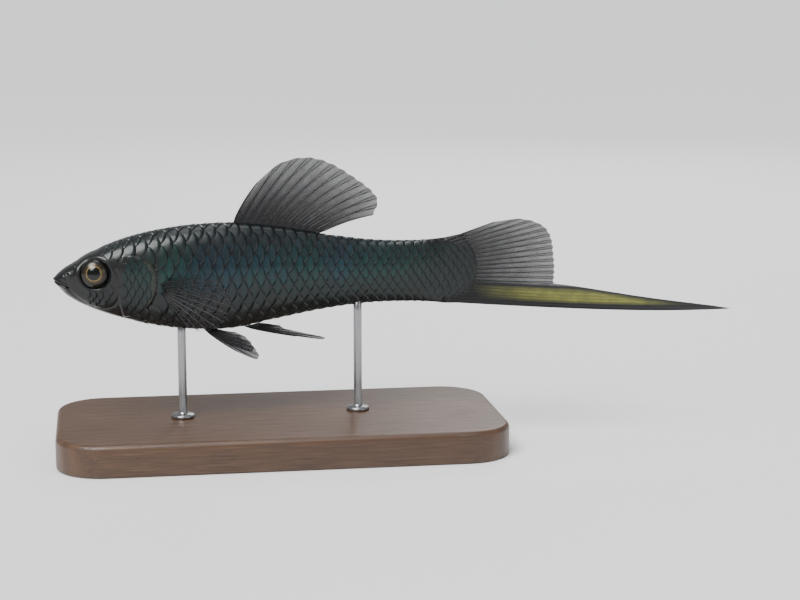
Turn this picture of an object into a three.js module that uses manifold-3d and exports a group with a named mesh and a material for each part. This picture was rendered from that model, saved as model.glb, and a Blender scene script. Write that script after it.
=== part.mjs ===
// An adult male swordtail of the black variety, life size, held level on a plain display stand.
//
// The fish is drawn straight first: x runs back from the snout, y to the side and z up from the line
// that joins the mouth to the middle of the tail root. The straight fish is then bent sideways into a
// gentle swimming wave and set on its rods. Millimetres; +Z is up and the head points to -X.
import * as THREE from "three";
import { mergeVertices } from "three/addons/utils/BufferGeometryUtils.js";
import Module from "manifold-3d";

// Driving dimensions.
const STANDARD_LENGTH = 72; // snout to the root of the tail fin
const L = STANDARD_LENGTH; // every share below is of this length
const BODY_END = 1.035 * L; // the fleshy tail root reaches a little under the fin
const SNOUT_CAP = 0.034 * L; // length over which the snout rounds off
const TAIL_CAP = 0.02 * L;
const SWORD_LENGTH = 0.78; // share of the longest ray of the sword, from its root
const REAR_TIP = BODY_END + SWORD_LENGTH * L;

const GAP = 0.3; // between neighbouring pieces
const FIN_ROOT = 0.9; // fin thickness at its root
const FIN_EDGE = 0.55; // and at its margin

const EYE = { x: 0.105 * L, z: 0.021 * L, radius: 0.0375 * L, depth: 1.7, inset: 1.1, tilt: 8 };

// The gill cover's outline in the side view, in shares of L: a start, then a pull point and an end for each
// stretch of it, over the top, down the free rear edge, along the throat and up behind the cheek.
const GILL_OUTLINE = [
  [0.172, 0.07],
  [0.245, 0.07], [0.256, 0.03],
  [0.268, -0.014], [0.247, -0.052],
  [0.225, -0.093], [0.174, -0.098],
  [0.146, -0.012], [0.172, 0.07],
];
const GILL = { x: 0.2, z: -0.012, thick: 1.2, throat: 1.2 }; // its middle, thickness and gap to the midline

// The cuts that part the body, as lines in the side view, in shares of L.
const MOUTH_CUT = [[-0.02, 0.008], [0.036, -0.016], [0.07, -0.1]];
const LIP_CUT = [[0.036, -0.016], [0.03, 0.006], [0.012, 0.05]];
const NAPE_CUT = [[0.236, 0.2], [0.247, 0.085], [0.27, 0.03], [0.274, -0.014], [0.258, -0.06], [0.226, -0.2]];
const STALK_CUT = [[0.735, 0.2], [0.735, -0.2]];

// The parted pieces are told from each other by where they lie, in shares of L: the jaws and the head end
// before these places, the trunk starts before its own, and the lower jaw's middle is below its own.
const PIECES = { jawsEnd: 0.1, headEnd: 0.3, trunkStart: 0.5, lowerJaw: -0.01 };

const WAVE = { height: 5, still: 20, length: 120, floor: 0.15 }; // the swimming bend
const AXIS_HEIGHT = 33; // of the fish's own axis above the table
const BALANCE = 0.58 * L; // the station that stands over the centre of the base
const BASE = { length: 84, width: 40, thick: 6, corner: 9, chamfer: 0.8 };
const ROD = { radius: 0.8, sides: 20, depth: 2.2, stations: { front: 0.325 * L, rear: 0.79 * L } };
const ROD_FOOT = { radius: 2.2, rim: 0.5, shoulder: 0.8, neck: 1.3 }; // heights above the foot's underside

const WHOLE_BODY = { around: 28, along: 40 };
const INNER_BODY = { around: 20, along: 24 }; // the core that backs the gill covers
const LEAST_CORE = 0.1; // the core under the skin never closes up before its ends
const ACROSS = 30; // wider than any piece of the fish

// The body from snout to tail root. Each station gives the back, the belly, half the width, the height of
// the widest line, and how square the section is above and below that line (2 is an ellipse).
const STATIONS = [
  { at: 0.0, back: 0.017, belly: -0.014, half: 0.031, waist: 0.003, above: 2.5, below: 2.2 },
  { at: 0.05, back: 0.044, belly: -0.052, half: 0.047, waist: 0.008, above: 2.6, below: 2.1 },
  { at: 0.105, back: 0.074, belly: -0.08, half: 0.06, waist: 0.014, above: 2.7, below: 2.0 },
  { at: 0.18, back: 0.104, belly: -0.107, half: 0.069, waist: 0.014, above: 2.4, below: 2.1 },
  { at: 0.26, back: 0.124, belly: -0.127, half: 0.073, waist: 0.01, above: 2.15, below: 2.2 },
  { at: 0.36, back: 0.137, belly: -0.141, half: 0.07, waist: 0.007, above: 2.0, below: 2.2 },
  { at: 0.47, back: 0.139, belly: -0.141, half: 0.063, waist: 0.004, above: 1.9, below: 2.0 },
  { at: 0.58, back: 0.126, belly: -0.121, half: 0.052, waist: 0.002, above: 1.9, below: 1.9 },
  { at: 0.7, back: 0.104, belly: -0.1, half: 0.04, waist: 0.001, above: 1.9, below: 1.9 },
  { at: 0.82, back: 0.086, belly: -0.087, half: 0.03, waist: 0.0, above: 1.9, below: 1.9 },
  { at: 0.93, back: 0.082, belly: -0.086, half: 0.021, waist: 0.0, above: 2.0, below: 2.0 },
  { at: 1.035, back: 0.088, belly: -0.092, half: 0.01, waist: 0.0, above: 2.0, below: 2.0 },
];

const radians = THREE.MathUtils.degToRad;
const lerp = THREE.MathUtils.lerp;

// A smooth curve through the values that `pick` reads from a list of stations, at the place x.
function smooth(stations, x, pick) {
  const last = stations.length - 1;
  const clamped = THREE.MathUtils.clamp(x, stations[0].at, stations[last].at);
  let i = 0;
  while (i < last - 1 && clamped > stations[i + 1].at) i++;
  const slope = (k) => {
    const a = stations[Math.max(k - 1, 0)];
    const b = stations[Math.min(k + 1, last)];
    return (pick(b) - pick(a)) / (b.at - a.at);
  };
  const [a, b] = [stations[i], stations[i + 1]];
  const width = b.at - a.at;
  const t = (clamped - a.at) / width;
  const rise = pick(b) - pick(a);
  const [from, to] = [slope(i) * width, slope(i + 1) * width];
  return pick(a) + t * (from + t * (3 * rise - 2 * from - to + t * (from + to - 2 * rise)));
}

const bodyAt = (x, what) => smooth(STATIONS, x / L, (station) => station[what]);

// How far the section has opened between a rounded end and the full body: 0 at the end, 1 past the cap.
function opening(x, inset = 0) {
  const fromSnout = THREE.MathUtils.clamp((x - inset) / SNOUT_CAP, 0, 1);
  const fromTail = THREE.MathUtils.clamp((BODY_END - inset - x) / TAIL_CAP, 0, 1);
  const round = (share) => Math.sqrt(Math.max(0, 1 - (1 - share) ** 2));
  return round(fromSnout) * round(fromTail);
}

// A point of the body's skin: x along the fish, `turn` once round the section from the left flank over
// the back, and `inset` below the skin.
function bodyPoint(x, turn, inset = 0) {
  const angle = 2 * Math.PI * (turn % 1);
  const [c, s] = [Math.cos(angle), Math.sin(angle)];
  const upper = s >= 0;
  const power = 2 / bodyAt(x, upper ? "above" : "below");
  const waist = bodyAt(x, "waist") * L;
  const edge = bodyAt(x, upper ? "back" : "belly") * L;
  const open = opening(x, inset);
  const side = Math.max(bodyAt(x, "half") * L - inset, LEAST_CORE) * open;
  const rise = Math.max(Math.abs(edge - waist) - inset, LEAST_CORE) * open;
  const y = -Math.sign(c) * side * Math.abs(c) ** power;
  const z = waist + Math.sign(s) * rise * Math.abs(s) ** power;
  return new THREE.Vector3(x, y, z);
}

// Height of the skin above or below a point at the side distance y from the middle plane.
function skinHeight(x, y, upper) {
  const power = bodyAt(x, upper ? "above" : "below");
  const waist = bodyAt(x, "waist") * L;
  const edge = bodyAt(x, upper ? "back" : "belly") * L;
  const share = Math.min(Math.abs(y) / (bodyAt(x, "half") * L), 1);
  return waist + (edge - waist) * (1 - share ** power) ** (1 / power);
}

// Half the width of the body at the height z.
function skinSide(x, z) {
  const upper = z >= bodyAt(x, "waist") * L;
  const power = bodyAt(x, upper ? "above" : "below");
  const waist = bodyAt(x, "waist") * L;
  const edge = bodyAt(x, upper ? "back" : "belly") * L;
  const share = Math.min(Math.abs((z - waist) / (edge - waist)), 1);
  return bodyAt(x, "half") * L * (1 - share ** power) ** (1 / power);
}

// The swimming wave: the straight fish's vertical planes swing sideways, more towards the tail.
function swing(x) {
  const reach = WAVE.floor + (1 - WAVE.floor) * (x / REAR_TIP) ** 2;
  return WAVE.height * reach * Math.sin((2 * Math.PI * (x - WAVE.still)) / WAVE.length);
}

function swum({ x, y, z }) {
  const step = 0.01;
  const heading = Math.atan((swing(x + step) - swing(x - step)) / (2 * step));
  const bentX = x - y * Math.sin(heading);
  const bentY = swing(x) + y * Math.cos(heading);
  return new THREE.Vector3(bentX - BALANCE, bentY, z + AXIS_HEIGHT);
}

// Moves each vertex of a three.js geometry to the place that `map` gives for its position.
function moved(geometry, map) {
  const places = geometry.getAttribute("position");
  for (let i = 0; i < places.count; i++) {
    const to = map(new THREE.Vector3().fromBufferAttribute(places, i), i);
    places.setXYZ(i, to.x, to.y, to.z);
  }
  return geometry;
}

// Whole body, or its core at a depth under the skin, as a sphere drawn out along the fish.
function bodyGeometry({ around, along }, inset = 0) {
  const sphere = new THREE.SphereGeometry(1, around, along);
  const uv = sphere.getAttribute("uv");
  const [from, to] = [inset, BODY_END - inset];
  return moved(sphere, (_, i) => {
    const turn = Math.round(uv.getX(i) * around * 2) / (around * 2);
    const share = (1 - Math.cos(Math.PI * (1 - uv.getY(i)))) / 2;
    return bodyPoint(lerp(from, to, share), turn, inset);
  });
}

const wasm = await Module();
wasm.setup();

function solid(geometry) {
  const bare = new THREE.BufferGeometry();
  bare.setAttribute("position", geometry.getAttribute("position"));
  bare.setIndex(geometry.index);
  const merged = mergeVertices(bare, 1e-4);
  const vertProperties = merged.getAttribute("position").array;
  const triVerts = new Uint32Array(merged.index.array);
  return new wasm.Manifold(new wasm.Mesh({ numProp: 3, vertProperties, triVerts }));
}

function geometryOf(manifold) {
  const { vertProperties, triVerts } = manifold.getMesh();
  const geometry = new THREE.BufferGeometry();
  geometry.setAttribute("position", new THREE.BufferAttribute(vertProperties.slice(), 3));
  geometry.setIndex(new THREE.BufferAttribute(triVerts.slice(), 1));
  return geometry;
}

// A thin cut right through the fish along a line drawn in the side view.
function cutAlong(points) {
  const bars = [];
  for (let i = 1; i < points.length; i++) {
    const [a, b] = [points[i - 1], points[i]];
    const [dx, dz] = [(b[0] - a[0]) * L, (b[1] - a[1]) * L];
    const bar = new THREE.BoxGeometry(Math.hypot(dx, dz) + GAP, ACROSS, GAP);
    bar.rotateY(-Math.atan2(dz, dx));
    bar.translate(((a[0] + b[0]) / 2) * L, 0, ((a[1] + b[1]) / 2) * L);
    bars.push(solid(bar));
  }
  return bars.reduce((whole, bar) => whole.add(bar));
}

// The gill cover's outline in the side view, pushed through one side of the head.
function gillPrism(side, grown) {
  const at = ([x, z]) => [x * L + Math.sign(x - GILL.x) * grown, z * L + Math.sign(z - GILL.z) * grown];
  const [start, ...curves] = GILL_OUTLINE.map(at);
  const outline = new THREE.Shape();
  outline.moveTo(...start);
  for (let i = 0; i < curves.length; i += 2) outline.quadraticCurveTo(...curves[i], ...curves[i + 1]);
  const prism = new THREE.ExtrudeGeometry(outline, { depth: ACROSS, bevelEnabled: false, curveSegments: 8 });
  // The outline is drawn in x and y; turned up into x and z it runs to -Y, the fish's left.
  prism.rotateX(Math.PI / 2);
  const throat = GILL.throat - grown; // the covers stop short of the throat's middle line
  prism.translate(0, side === "left" ? -throat : ACROSS + throat, 0);
  return solid(prism);
}

// An eyeball, or the socket round it.
function eyeball(side, grown) {
  const out = side === "left" ? -1 : 1;
  const ball = new THREE.SphereGeometry(1, 20, 10);
  ball.rotateX(Math.PI / 2);
  ball.scale(EYE.radius + grown, EYE.radius + grown, EYE.depth + grown);
  ball.rotateX(Math.PI / 2);
  ball.rotateZ(out * radians(EYE.tilt));
  ball.rotateX(out * radians(EYE.tilt));
  ball.translate(EYE.x, out * (skinSide(EYE.x, EYE.z) - EYE.inset), EYE.z);
  return solid(ball);
}

// The hole that a rod of the stand goes into.
function rodHole(station) {
  const deep = 2 * (ROD.depth + GAP);
  const hole = new THREE.CylinderGeometry(ROD.radius + GAP, ROD.radius + GAP, deep, ROD.sides);
  hole.rotateX(Math.PI / 2);
  hole.translate(station, 0, skinHeight(station, 0, false));
  return solid(hole);
}

// The body in its pieces: jaws, head, gill covers, trunk and tail stalk.
function bodyPieces() {
  const whole = solid(bodyGeometry(WHOLE_BODY));
  const core = solid(bodyGeometry(INNER_BODY, GILL.thick));
  const deepCore = solid(bodyGeometry(INNER_BODY, GILL.thick + GAP));
  const pieces = {};
  let rest = whole;
  for (const line of [MOUTH_CUT, LIP_CUT, NAPE_CUT, STALK_CUT]) rest = rest.subtract(cutAlong(line));
  for (const side of ["left", "right"]) {
    const cover = whole.intersect(gillPrism(side, 0)).subtract(core);
    pieces[`gill_cover_${side}`] = cover;
    pieces[`eye_${side}`] = eyeball(side, 0);
    rest = rest.subtract(gillPrism(side, GAP).subtract(deepCore)).subtract(eyeball(side, GAP));
  }
  for (const station of Object.values(ROD.stations)) rest = rest.subtract(rodHole(station));
  const named = { lower_jaw: 0, upper_jaw: 0, head: 0, trunk: 0, tail_stalk: 0 };
  for (const part of rest.decompose()) {
    const box = part.boundingBox();
    const [back, front] = [box.max[0] / L, box.min[0] / L];
    const low = (box.min[2] + box.max[2]) / 2 < PIECES.lowerJaw * L;
    let name = "tail_stalk";
    if (back < PIECES.jawsEnd) name = low ? "lower_jaw" : "upper_jaw";
    else if (back < PIECES.headEnd) name = "head";
    else if (front < PIECES.trunkStart) name = "trunk";
    // A sliver that the crossing cuts leave is dropped.
    if (part.volume() > named[name]) {
      named[name] = part.volume();
      pieces[name] = part;
    }
  }
  return pieces;
}

// The fins. Each is a fan of rays, from the first ray, s = 0, to the last, s = 1: `root` is where a ray
// leaves the body, `way` its direction in degrees above straight back, and `ray` its length as a share
// of L. The rays droop by `curl` degrees towards their ends, and `out` swings the fan off the body.
function along(pairs) {
  const list = pairs.map(([at, value]) => ({ at, value }));
  return (s) => smooth(list, s, (point) => point.value);
}

const SWORD_FROM = 0.66; // share of the tail's rays above the sword
const SWORD_TAPER = 0.8; // 1 is a straight-edged spike, less is fuller near its root
const TAIL_ROOT = { top: 0.08, foot: -0.086, arc: 0.012 }; // the line the tail's rays spring from
const tailMargin = along([[0, 0.135], [0.06, 0.205], [0.2, 0.262], [0.45, 0.272], [SWORD_FROM, 0.272]]);

function tailRay(s) {
  const into = Math.max(0, (s - SWORD_FROM) / (1 - SWORD_FROM));
  const margin = tailMargin(Math.min(s, SWORD_FROM));
  return margin + (SWORD_LENGTH - margin) * into ** SWORD_TAPER;
}

const tail = {
  root: (s) => {
    const x = BODY_END + GAP - TAIL_ROOT.arc * L * (2 * s - 1) ** 2;
    return new THREE.Vector3(x, 0, lerp(TAIL_ROOT.top, TAIL_ROOT.foot, s) * L);
  },
  way: along([[0, 20], [0.3, 9], [0.66, -2.5], [1, -4]]),
  ray: tailRay,
  curl: 0,
  lift: 0.02 * L,
  ripple: 0.5,
};

const FINS = {
  dorsal_fin: {
    root: (s) => {
      const x = lerp(0.468, 0.7, s) * L;
      return new THREE.Vector3(x, 0, skinHeight(x, 0, true) + GAP);
    },
    way: along([[0, 66], [0.5, 47], [1, 24]]),
    ray: along([[0, 0.115], [0.08, 0.178], [0.28, 0.22], [0.6, 0.215], [0.85, 0.195], [1, 0.14]]),
    curl: 8,
    ripple: 0.7,
    grid: [14, 6],
  },
  caudal_fin: { ...tail, span: [0, SWORD_FROM - 0.013], grid: [12, 6] },
  sword: { ...tail, span: [SWORD_FROM + 0.013, 1], grid: [8, 14] },
  gonopodium: {
    root: (s) => {
      const x = lerp(0.5, 0.54, s) * L;
      return new THREE.Vector3(x, 0, skinHeight(x, 0, false) - GAP);
    },
    way: along([[0, -16], [1, -12]]),
    ray: along([[0, 0.13], [0.16, 0.19], [0.42, 0.183], [0.62, 0.085], [1, 0.045]]),
    curl: -3,
    ripple: 0,
    grid: [8, 8],
  },
};

for (const side of ["left", "right"]) {
  const out = side === "left" ? -1 : 1;
  FINS[`pelvic_fin_${side}`] = {
    root: (s) => {
      const x = lerp(0.388, 0.414, s) * L;
      const y = lerp(0.017, 0.014, s) * L;
      return new THREE.Vector3(x, out * y, skinHeight(x, y, false) - GAP);
    },
    way: along([[0, -40], [1, -20]]),
    ray: along([[0, 0.1], [0.15, 0.142], [0.35, 0.145], [0.65, 0.115], [0.88, 0.085], [1, 0.06]]),
    curl: -6,
    out: out * 16,
    ripple: 0,
    grid: [6, 6],
  };
  FINS[`pectoral_fin_${side}`] = {
    root: (s) => {
      const [x, z] = [lerp(0.277, 0.285, s) * L, lerp(-0.004, -0.05, s) * L];
      return new THREE.Vector3(x, out * (skinSide(x, z) + GAP), z);
    },
    way: along([[0, 16], [0.5, -10], [1, -44]]),
    ray: along([[0, 0.115], [0.12, 0.17], [0.35, 0.192], [0.65, 0.172], [0.88, 0.125], [1, 0.085]]),
    curl: 4,
    out: out * 36,
    ripple: 0,
    grid: [10, 6],
  };
}

// A point of a fin's middle sheet: s across the rays, t from root to margin.
function finPoint(fin, s, t) {
  const length = fin.ray(s) * L * t;
  const way = radians(fin.way(s) - fin.curl * t);
  const out = radians(fin.out ?? 0);
  const reach = new THREE.Vector3(
    Math.cos(way) * Math.cos(out),
    Math.cos(way) * Math.sin(out),
    Math.sin(way),
  );
  const point = fin.root(s).addScaledVector(reach, length);
  point.y += fin.ripple * t * t * Math.sin(2.5 * Math.PI * s);
  point.z += (fin.lift ?? 0) * (length / (SWORD_LENGTH * L)) ** 2;
  return point;
}

// A fin as a box whose two broad sides follow the sheet.
function finSolid(fin) {
  const [from, to] = fin.span ?? [0, 1];
  const [across, outward] = fin.grid;
  const box = new THREE.BoxGeometry(1, 1, 1, across, outward, 1);
  const step = 1e-3;
  moved(box, ({ x, y, z }) => {
    const s = lerp(from, to, x + 0.5);
    const t = y + 0.5;
    const [s0, s1] = [Math.max(s - step, 0), Math.min(s + step, 1)];
    const acrossWay = finPoint(fin, s1, t).sub(finPoint(fin, s0, t));
    const outWay = finPoint(fin, s, Math.min(t + step, 1)).sub(finPoint(fin, s, Math.max(t - step, 0)));
    if (acrossWay.lengthSq() < 1e-12) acrossWay.set(0, 0, -1);
    const normal = acrossWay.cross(outWay).normalize();
    const thick = lerp(FIN_ROOT, FIN_EDGE, Math.sqrt(t));
    return finPoint(fin, s, t).addScaledVector(normal, 2 * z * (thick / 2));
  });
  return solid(box);
}

// The stand: a flat base with a chamfered edge, and two rods.
function standBase() {
  const [x, y, r] = [BASE.length / 2 - BASE.chamfer, BASE.width / 2 - BASE.chamfer, BASE.corner];
  const outline = new THREE.Shape();
  outline.absarc(x - r, y - r, r, 0, Math.PI / 2);
  outline.absarc(r - x, y - r, r, Math.PI / 2, Math.PI);
  outline.absarc(r - x, r - y, r, Math.PI, 1.5 * Math.PI);
  outline.absarc(x - r, r - y, r, 1.5 * Math.PI, 2 * Math.PI);
  const slab = new THREE.ExtrudeGeometry(outline, {
    depth: BASE.thick - 2 * BASE.chamfer,
    bevelThickness: BASE.chamfer,
    bevelSize: BASE.chamfer,
    bevelSegments: 1,
    curveSegments: 8,
  });
  return slab.translate(0, 0, BASE.chamfer);
}

// A turned rod on a small foot, from the base into its hole in the belly.
function standRod(station) {
  const foot = BASE.thick + GAP;
  const head = AXIS_HEIGHT + skinHeight(station, 0, false) + ROD.depth;
  const profile = [
    [0, foot],
    [ROD_FOOT.radius, foot],
    [ROD_FOOT.radius, foot + ROD_FOOT.rim],
    [(ROD_FOOT.radius + ROD.radius) / 2, foot + ROD_FOOT.shoulder],
    [ROD.radius, foot + ROD_FOOT.neck],
    [ROD.radius, head],
    [0, head],
  ];
  const rod = new THREE.LatheGeometry(profile.map(([r, h]) => new THREE.Vector2(r, h)), ROD.sides);
  rod.rotateX(Math.PI / 2);
  const place = swum(new THREE.Vector3(station, 0, 0));
  return geometryOf(solid(rod)).translate(place.x, place.y, 0);
}

const MATERIALS = {
  flesh: new THREE.MeshStandardMaterial({ color: 0x0d0f12, roughness: 0.35, metalness: 0.1 }),
  fin: new THREE.MeshStandardMaterial({ color: 0x16171a, roughness: 0.5, metalness: 0 }),
  eye: new THREE.MeshStandardMaterial({ color: 0x1a1712, roughness: 0.1, metalness: 0.2 }),
  wood: new THREE.MeshStandardMaterial({ color: 0x6b4527, roughness: 0.5, metalness: 0 }),
  steel: new THREE.MeshStandardMaterial({ color: 0xb8babd, roughness: 0.3, metalness: 1 }),
};

const swordtail = new THREE.Group();
swordtail.name = "swordtail";

function place(name, geometry, material) {
  geometry.computeVertexNormals();
  const mesh = new THREE.Mesh(geometry, material);
  mesh.name = name;
  swordtail.add(mesh);
}

for (const [name, piece] of Object.entries(bodyPieces())) {
  const material = name.startsWith("eye") ? MATERIALS.eye : MATERIALS.flesh;
  place(name, moved(geometryOf(piece), swum), material);
}
for (const [name, fin] of Object.entries(FINS)) {
  place(name, moved(geometryOf(finSolid(fin)), swum), MATERIALS.fin);
}
place("stand_base", standBase(), MATERIALS.wood);
for (const [name, station] of Object.entries(ROD.stations)) {
  place(`stand_rod_${name}`, standRod(station), MATERIALS.steel);
}

export default swordtail;
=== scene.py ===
# %% [markdown]
# A black swordtail, life size, as a museum model on a plain stand.
# The solids of the model are already made and packed. They fix where every part is and how big it is.
# This lesson gives the fish its looks: one skin, overlapping scales, clear fins with rays, eyes and a stand.

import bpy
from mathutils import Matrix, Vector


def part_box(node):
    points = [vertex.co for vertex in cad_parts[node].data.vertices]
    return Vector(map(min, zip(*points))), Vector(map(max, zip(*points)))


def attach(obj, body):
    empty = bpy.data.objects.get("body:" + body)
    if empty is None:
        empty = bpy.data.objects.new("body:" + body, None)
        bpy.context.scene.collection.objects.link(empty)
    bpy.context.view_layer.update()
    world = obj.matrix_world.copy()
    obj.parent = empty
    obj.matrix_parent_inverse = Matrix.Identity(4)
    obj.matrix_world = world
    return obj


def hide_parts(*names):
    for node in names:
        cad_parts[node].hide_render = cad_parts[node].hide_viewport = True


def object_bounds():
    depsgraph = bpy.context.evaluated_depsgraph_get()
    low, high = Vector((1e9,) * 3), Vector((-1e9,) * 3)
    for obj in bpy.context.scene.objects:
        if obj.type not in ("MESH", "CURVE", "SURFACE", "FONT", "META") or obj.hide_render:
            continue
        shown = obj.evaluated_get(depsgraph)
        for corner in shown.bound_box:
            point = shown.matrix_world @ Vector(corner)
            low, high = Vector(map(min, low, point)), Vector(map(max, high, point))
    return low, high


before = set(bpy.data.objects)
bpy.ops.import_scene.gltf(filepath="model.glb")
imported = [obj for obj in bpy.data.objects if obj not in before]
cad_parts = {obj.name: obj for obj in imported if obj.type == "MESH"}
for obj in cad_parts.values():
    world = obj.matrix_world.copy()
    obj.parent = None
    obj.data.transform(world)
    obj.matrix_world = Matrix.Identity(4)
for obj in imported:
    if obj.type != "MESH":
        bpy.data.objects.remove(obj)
CAD_LOW, CAD_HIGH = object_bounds()
print("solids span", [round(high - low, 4) for low, high in zip(CAD_LOW, CAD_HIGH)], "metres")

# %% [markdown]
# The form of the fish is worked out from one length, its own from snout to tail root. The stand comes from
# the solids, and fine depths, such as a fold's or a scale's, are given in millimetres.
# numpy handles whole grids of points at once, which is much quicker in Blender than loops over vertices.

# %% Driving sizes
import math

import bmesh
import bpy
import numpy as np
from mathutils import Vector

MM = 0.001
LENGTH = 72 * MM
BODY_END = 1.035 * LENGTH
SNOUT_CAP = 0.034 * LENGTH
SWORD = 0.78 * LENGTH
REAR_TIP = BODY_END + SWORD
AXIS_HEIGHT = 33 * MM
BALANCE = 0.58 * LENGTH
BODY = "root"
SIDES = {"left": -1, "right": 1}

# %% [markdown]
# The section of the body changes along the fish. At each station the back, the belly, half the width and the
# height of the widest line are known, and how square the section is above and below that line.
# A smooth curve runs through the stations, so that no ring of the body shows.

# %% The shape of the straight fish
STATIONS = {
    "at": [0.0, 0.05, 0.105, 0.18, 0.26, 0.36, 0.47, 0.58, 0.7, 0.82, 0.93, 1.035],
    "back": [0.017, 0.044, 0.074, 0.104, 0.124, 0.137, 0.139, 0.126, 0.104, 0.086, 0.082, 0.088],
    "belly": [-0.014, -0.052, -0.08, -0.107, -0.127, -0.141, -0.141, -0.121, -0.1, -0.087, -0.086, -0.092],
    "half": [0.031, 0.047, 0.06, 0.069, 0.073, 0.07, 0.063, 0.052, 0.04, 0.03, 0.021, 0.01],
    "waist": [0.003, 0.008, 0.014, 0.014, 0.01, 0.007, 0.004, 0.002, 0.001, 0.0, 0.0, 0.0],
    "above": [2.5, 2.6, 2.7, 2.4, 2.15, 2.0, 1.9, 1.9, 1.9, 1.9, 2.0, 2.0],
    "below": [2.2, 2.1, 2.0, 2.1, 2.2, 2.2, 2.0, 1.9, 1.9, 1.9, 2.0, 2.0],
}


def smooth_through(places, values, x):
    """A smooth curve through the values at their places, read at x."""
    places, values = np.array(places, float), np.array(values, float)
    last = len(places) - 1
    x = np.clip(x, places[0], places[-1])
    i = np.clip(np.searchsorted(places, x) - 1, 0, last - 1)
    ahead = np.minimum(np.arange(last + 1) + 1, last)
    behind = np.maximum(np.arange(last + 1) - 1, 0)
    slope = (values[ahead] - values[behind]) / (places[ahead] - places[behind])
    width = places[i + 1] - places[i]
    t = (x - places[i]) / width
    rise = values[i + 1] - values[i]
    start, end = slope[i] * width, slope[i + 1] * width
    return values[i] + t * (start + t * (3 * rise - 2 * start - end + t * (start + end - 2 * rise)))


def body_at(x, what):
    """A share from the stations at the distance x behind the snout."""
    return smooth_through(STATIONS["at"], STATIONS[what], np.asarray(x) / LENGTH)


print("stations along the fish", len(STATIONS["at"]))

# %% Sections of the body
def opening(x):
    """0 at the tip of the snout, 1 once its rounded cap is past."""
    from_snout = np.clip(x / SNOUT_CAP, 0, 1)
    return np.sqrt(1 - (1 - from_snout) ** 2)


SECTION_STEPS = 361


def section(x, shares):
    """Side and height of points round the left flank at x: share 0 is the back's midline and 1 the belly's.
    A share below 0 or above 1 carries on over the midline, down or up the other flank."""
    angle = np.linspace(np.pi / 2, -np.pi / 2, SECTION_STEPS)
    across, up = np.cos(angle), np.sin(angle)
    upper = up >= 0
    power = 2 / np.where(upper, body_at(x, "above"), body_at(x, "below"))
    edge = np.where(upper, body_at(x, "back"), body_at(x, "belly"))
    waist = body_at(x, "waist")
    y = -body_at(x, "half") * opening(x) * np.abs(across) ** power
    z = waist + (edge - waist) * opening(x) * np.abs(up) ** power
    run = np.concatenate([[0], np.cumsum(np.hypot(np.diff(y), np.diff(z)))])
    folded = np.where(shares < 0, -shares, np.where(shares > 1, 2 - shares, shares))
    other_flank = (shares < 0) | (shares > 1)
    side = np.interp(folded * run[-1], run, y)
    height = np.interp(folded * run[-1], run, z)
    return np.where(other_flank, -side, side) * LENGTH, height * LENGTH


def skin_height(x, y, upper):
    """Height of the body's surface at the distance y from its middle plane."""
    power = body_at(x, "above" if upper else "below")
    waist = body_at(x, "waist") * LENGTH
    edge = body_at(x, "back" if upper else "belly") * LENGTH
    share = np.minimum(np.abs(y) / (body_at(x, "half") * LENGTH), 1)
    return waist + (edge - waist) * (1 - share**power) ** (1 / power)


def skin_side(x, z):
    """Half the width of the body at the height z."""
    waist = body_at(x, "waist") * LENGTH
    upper = z >= waist
    power = np.where(upper, body_at(x, "above"), body_at(x, "below"))
    edge = np.where(upper, body_at(x, "back"), body_at(x, "belly")) * LENGTH
    share = np.minimum(np.abs((z - waist) / (edge - waist)), 1)
    return body_at(x, "half") * LENGTH * (1 - share**power) ** (1 / power)


DEEPEST = 0.42 * LENGTH
depth = skin_height(DEEPEST, 0, True) - skin_height(DEEPEST, 0, False)
print("deepest section", round(float(depth), 4), "metres")

# %% [markdown]
# The fish swims: its upright slices swing sideways in a slow wave that grows towards the tail.
# Every piece is first made straight and then put through the same bend, so the pieces stay together.

# %% The swimming bend
WAVE_HEIGHT = 5 * MM
WAVE_STILL = 20 * MM
WAVE_LENGTH = 120 * MM
WAVE_FLOOR = 0.15


def swing(x):
    """How far the fish's middle plane swings sideways at x."""
    reach = WAVE_FLOOR + (1 - WAVE_FLOOR) * (x / REAR_TIP) ** 2
    return WAVE_HEIGHT * reach * np.sin(2 * np.pi * (x - WAVE_STILL) / WAVE_LENGTH)


def swum(points):
    """Points of the straight fish, bent and set above the stand."""
    x, y, z = points[..., 0], points[..., 1], points[..., 2]
    step = 0.01 * MM
    heading = np.arctan((swing(x + step) - swing(x - step)) / (2 * step))
    bent_x = x - y * np.sin(heading) - BALANCE
    bent_y = swing(x) + y * np.cos(heading)
    return np.stack([bent_x, bent_y, z + AXIS_HEIGHT], axis=-1)


head_low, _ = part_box("upper_jaw")
print("snout of the solids at", round(head_low.x, 4), "and of the curve at", round(-BALANCE, 4))

# %% [markdown]
# Small helpers: soft steps and bumps for modelling by numbers, and others that turn arrays into a mesh.

# %% Helpers for shapes
def fade(value, start, end):
    """0 at start and 1 at end, with soft ends. start may be the larger."""
    t = np.clip((np.asarray(value) - start) / (end - start), 0, 1)
    return t * t * (3 - 2 * t)


def bell(value, middle, width):
    """1 at the middle and almost 0 at twice the width away."""
    return np.exp(-(((np.asarray(value) - middle) / width) ** 2))


def mix(a, b, share):
    """a where share is 0, b where it is 1."""
    return a + (b - a) * share


def in_scene(name, data):
    """A new object of that data, in the scene."""
    made = bpy.data.objects.new(name, data)
    bpy.context.scene.collection.objects.link(made)
    return made


def new_object(name, points, faces, smooth=True):
    """A mesh object of these points and faces, at the origin."""
    mesh = bpy.data.meshes.new(name)
    mesh.from_pydata(np.asarray(points).reshape(-1, 3).tolist(), [], faces)
    mesh.validate()
    if smooth:
        mesh.shade_smooth()
    return in_scene(name, mesh)


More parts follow.
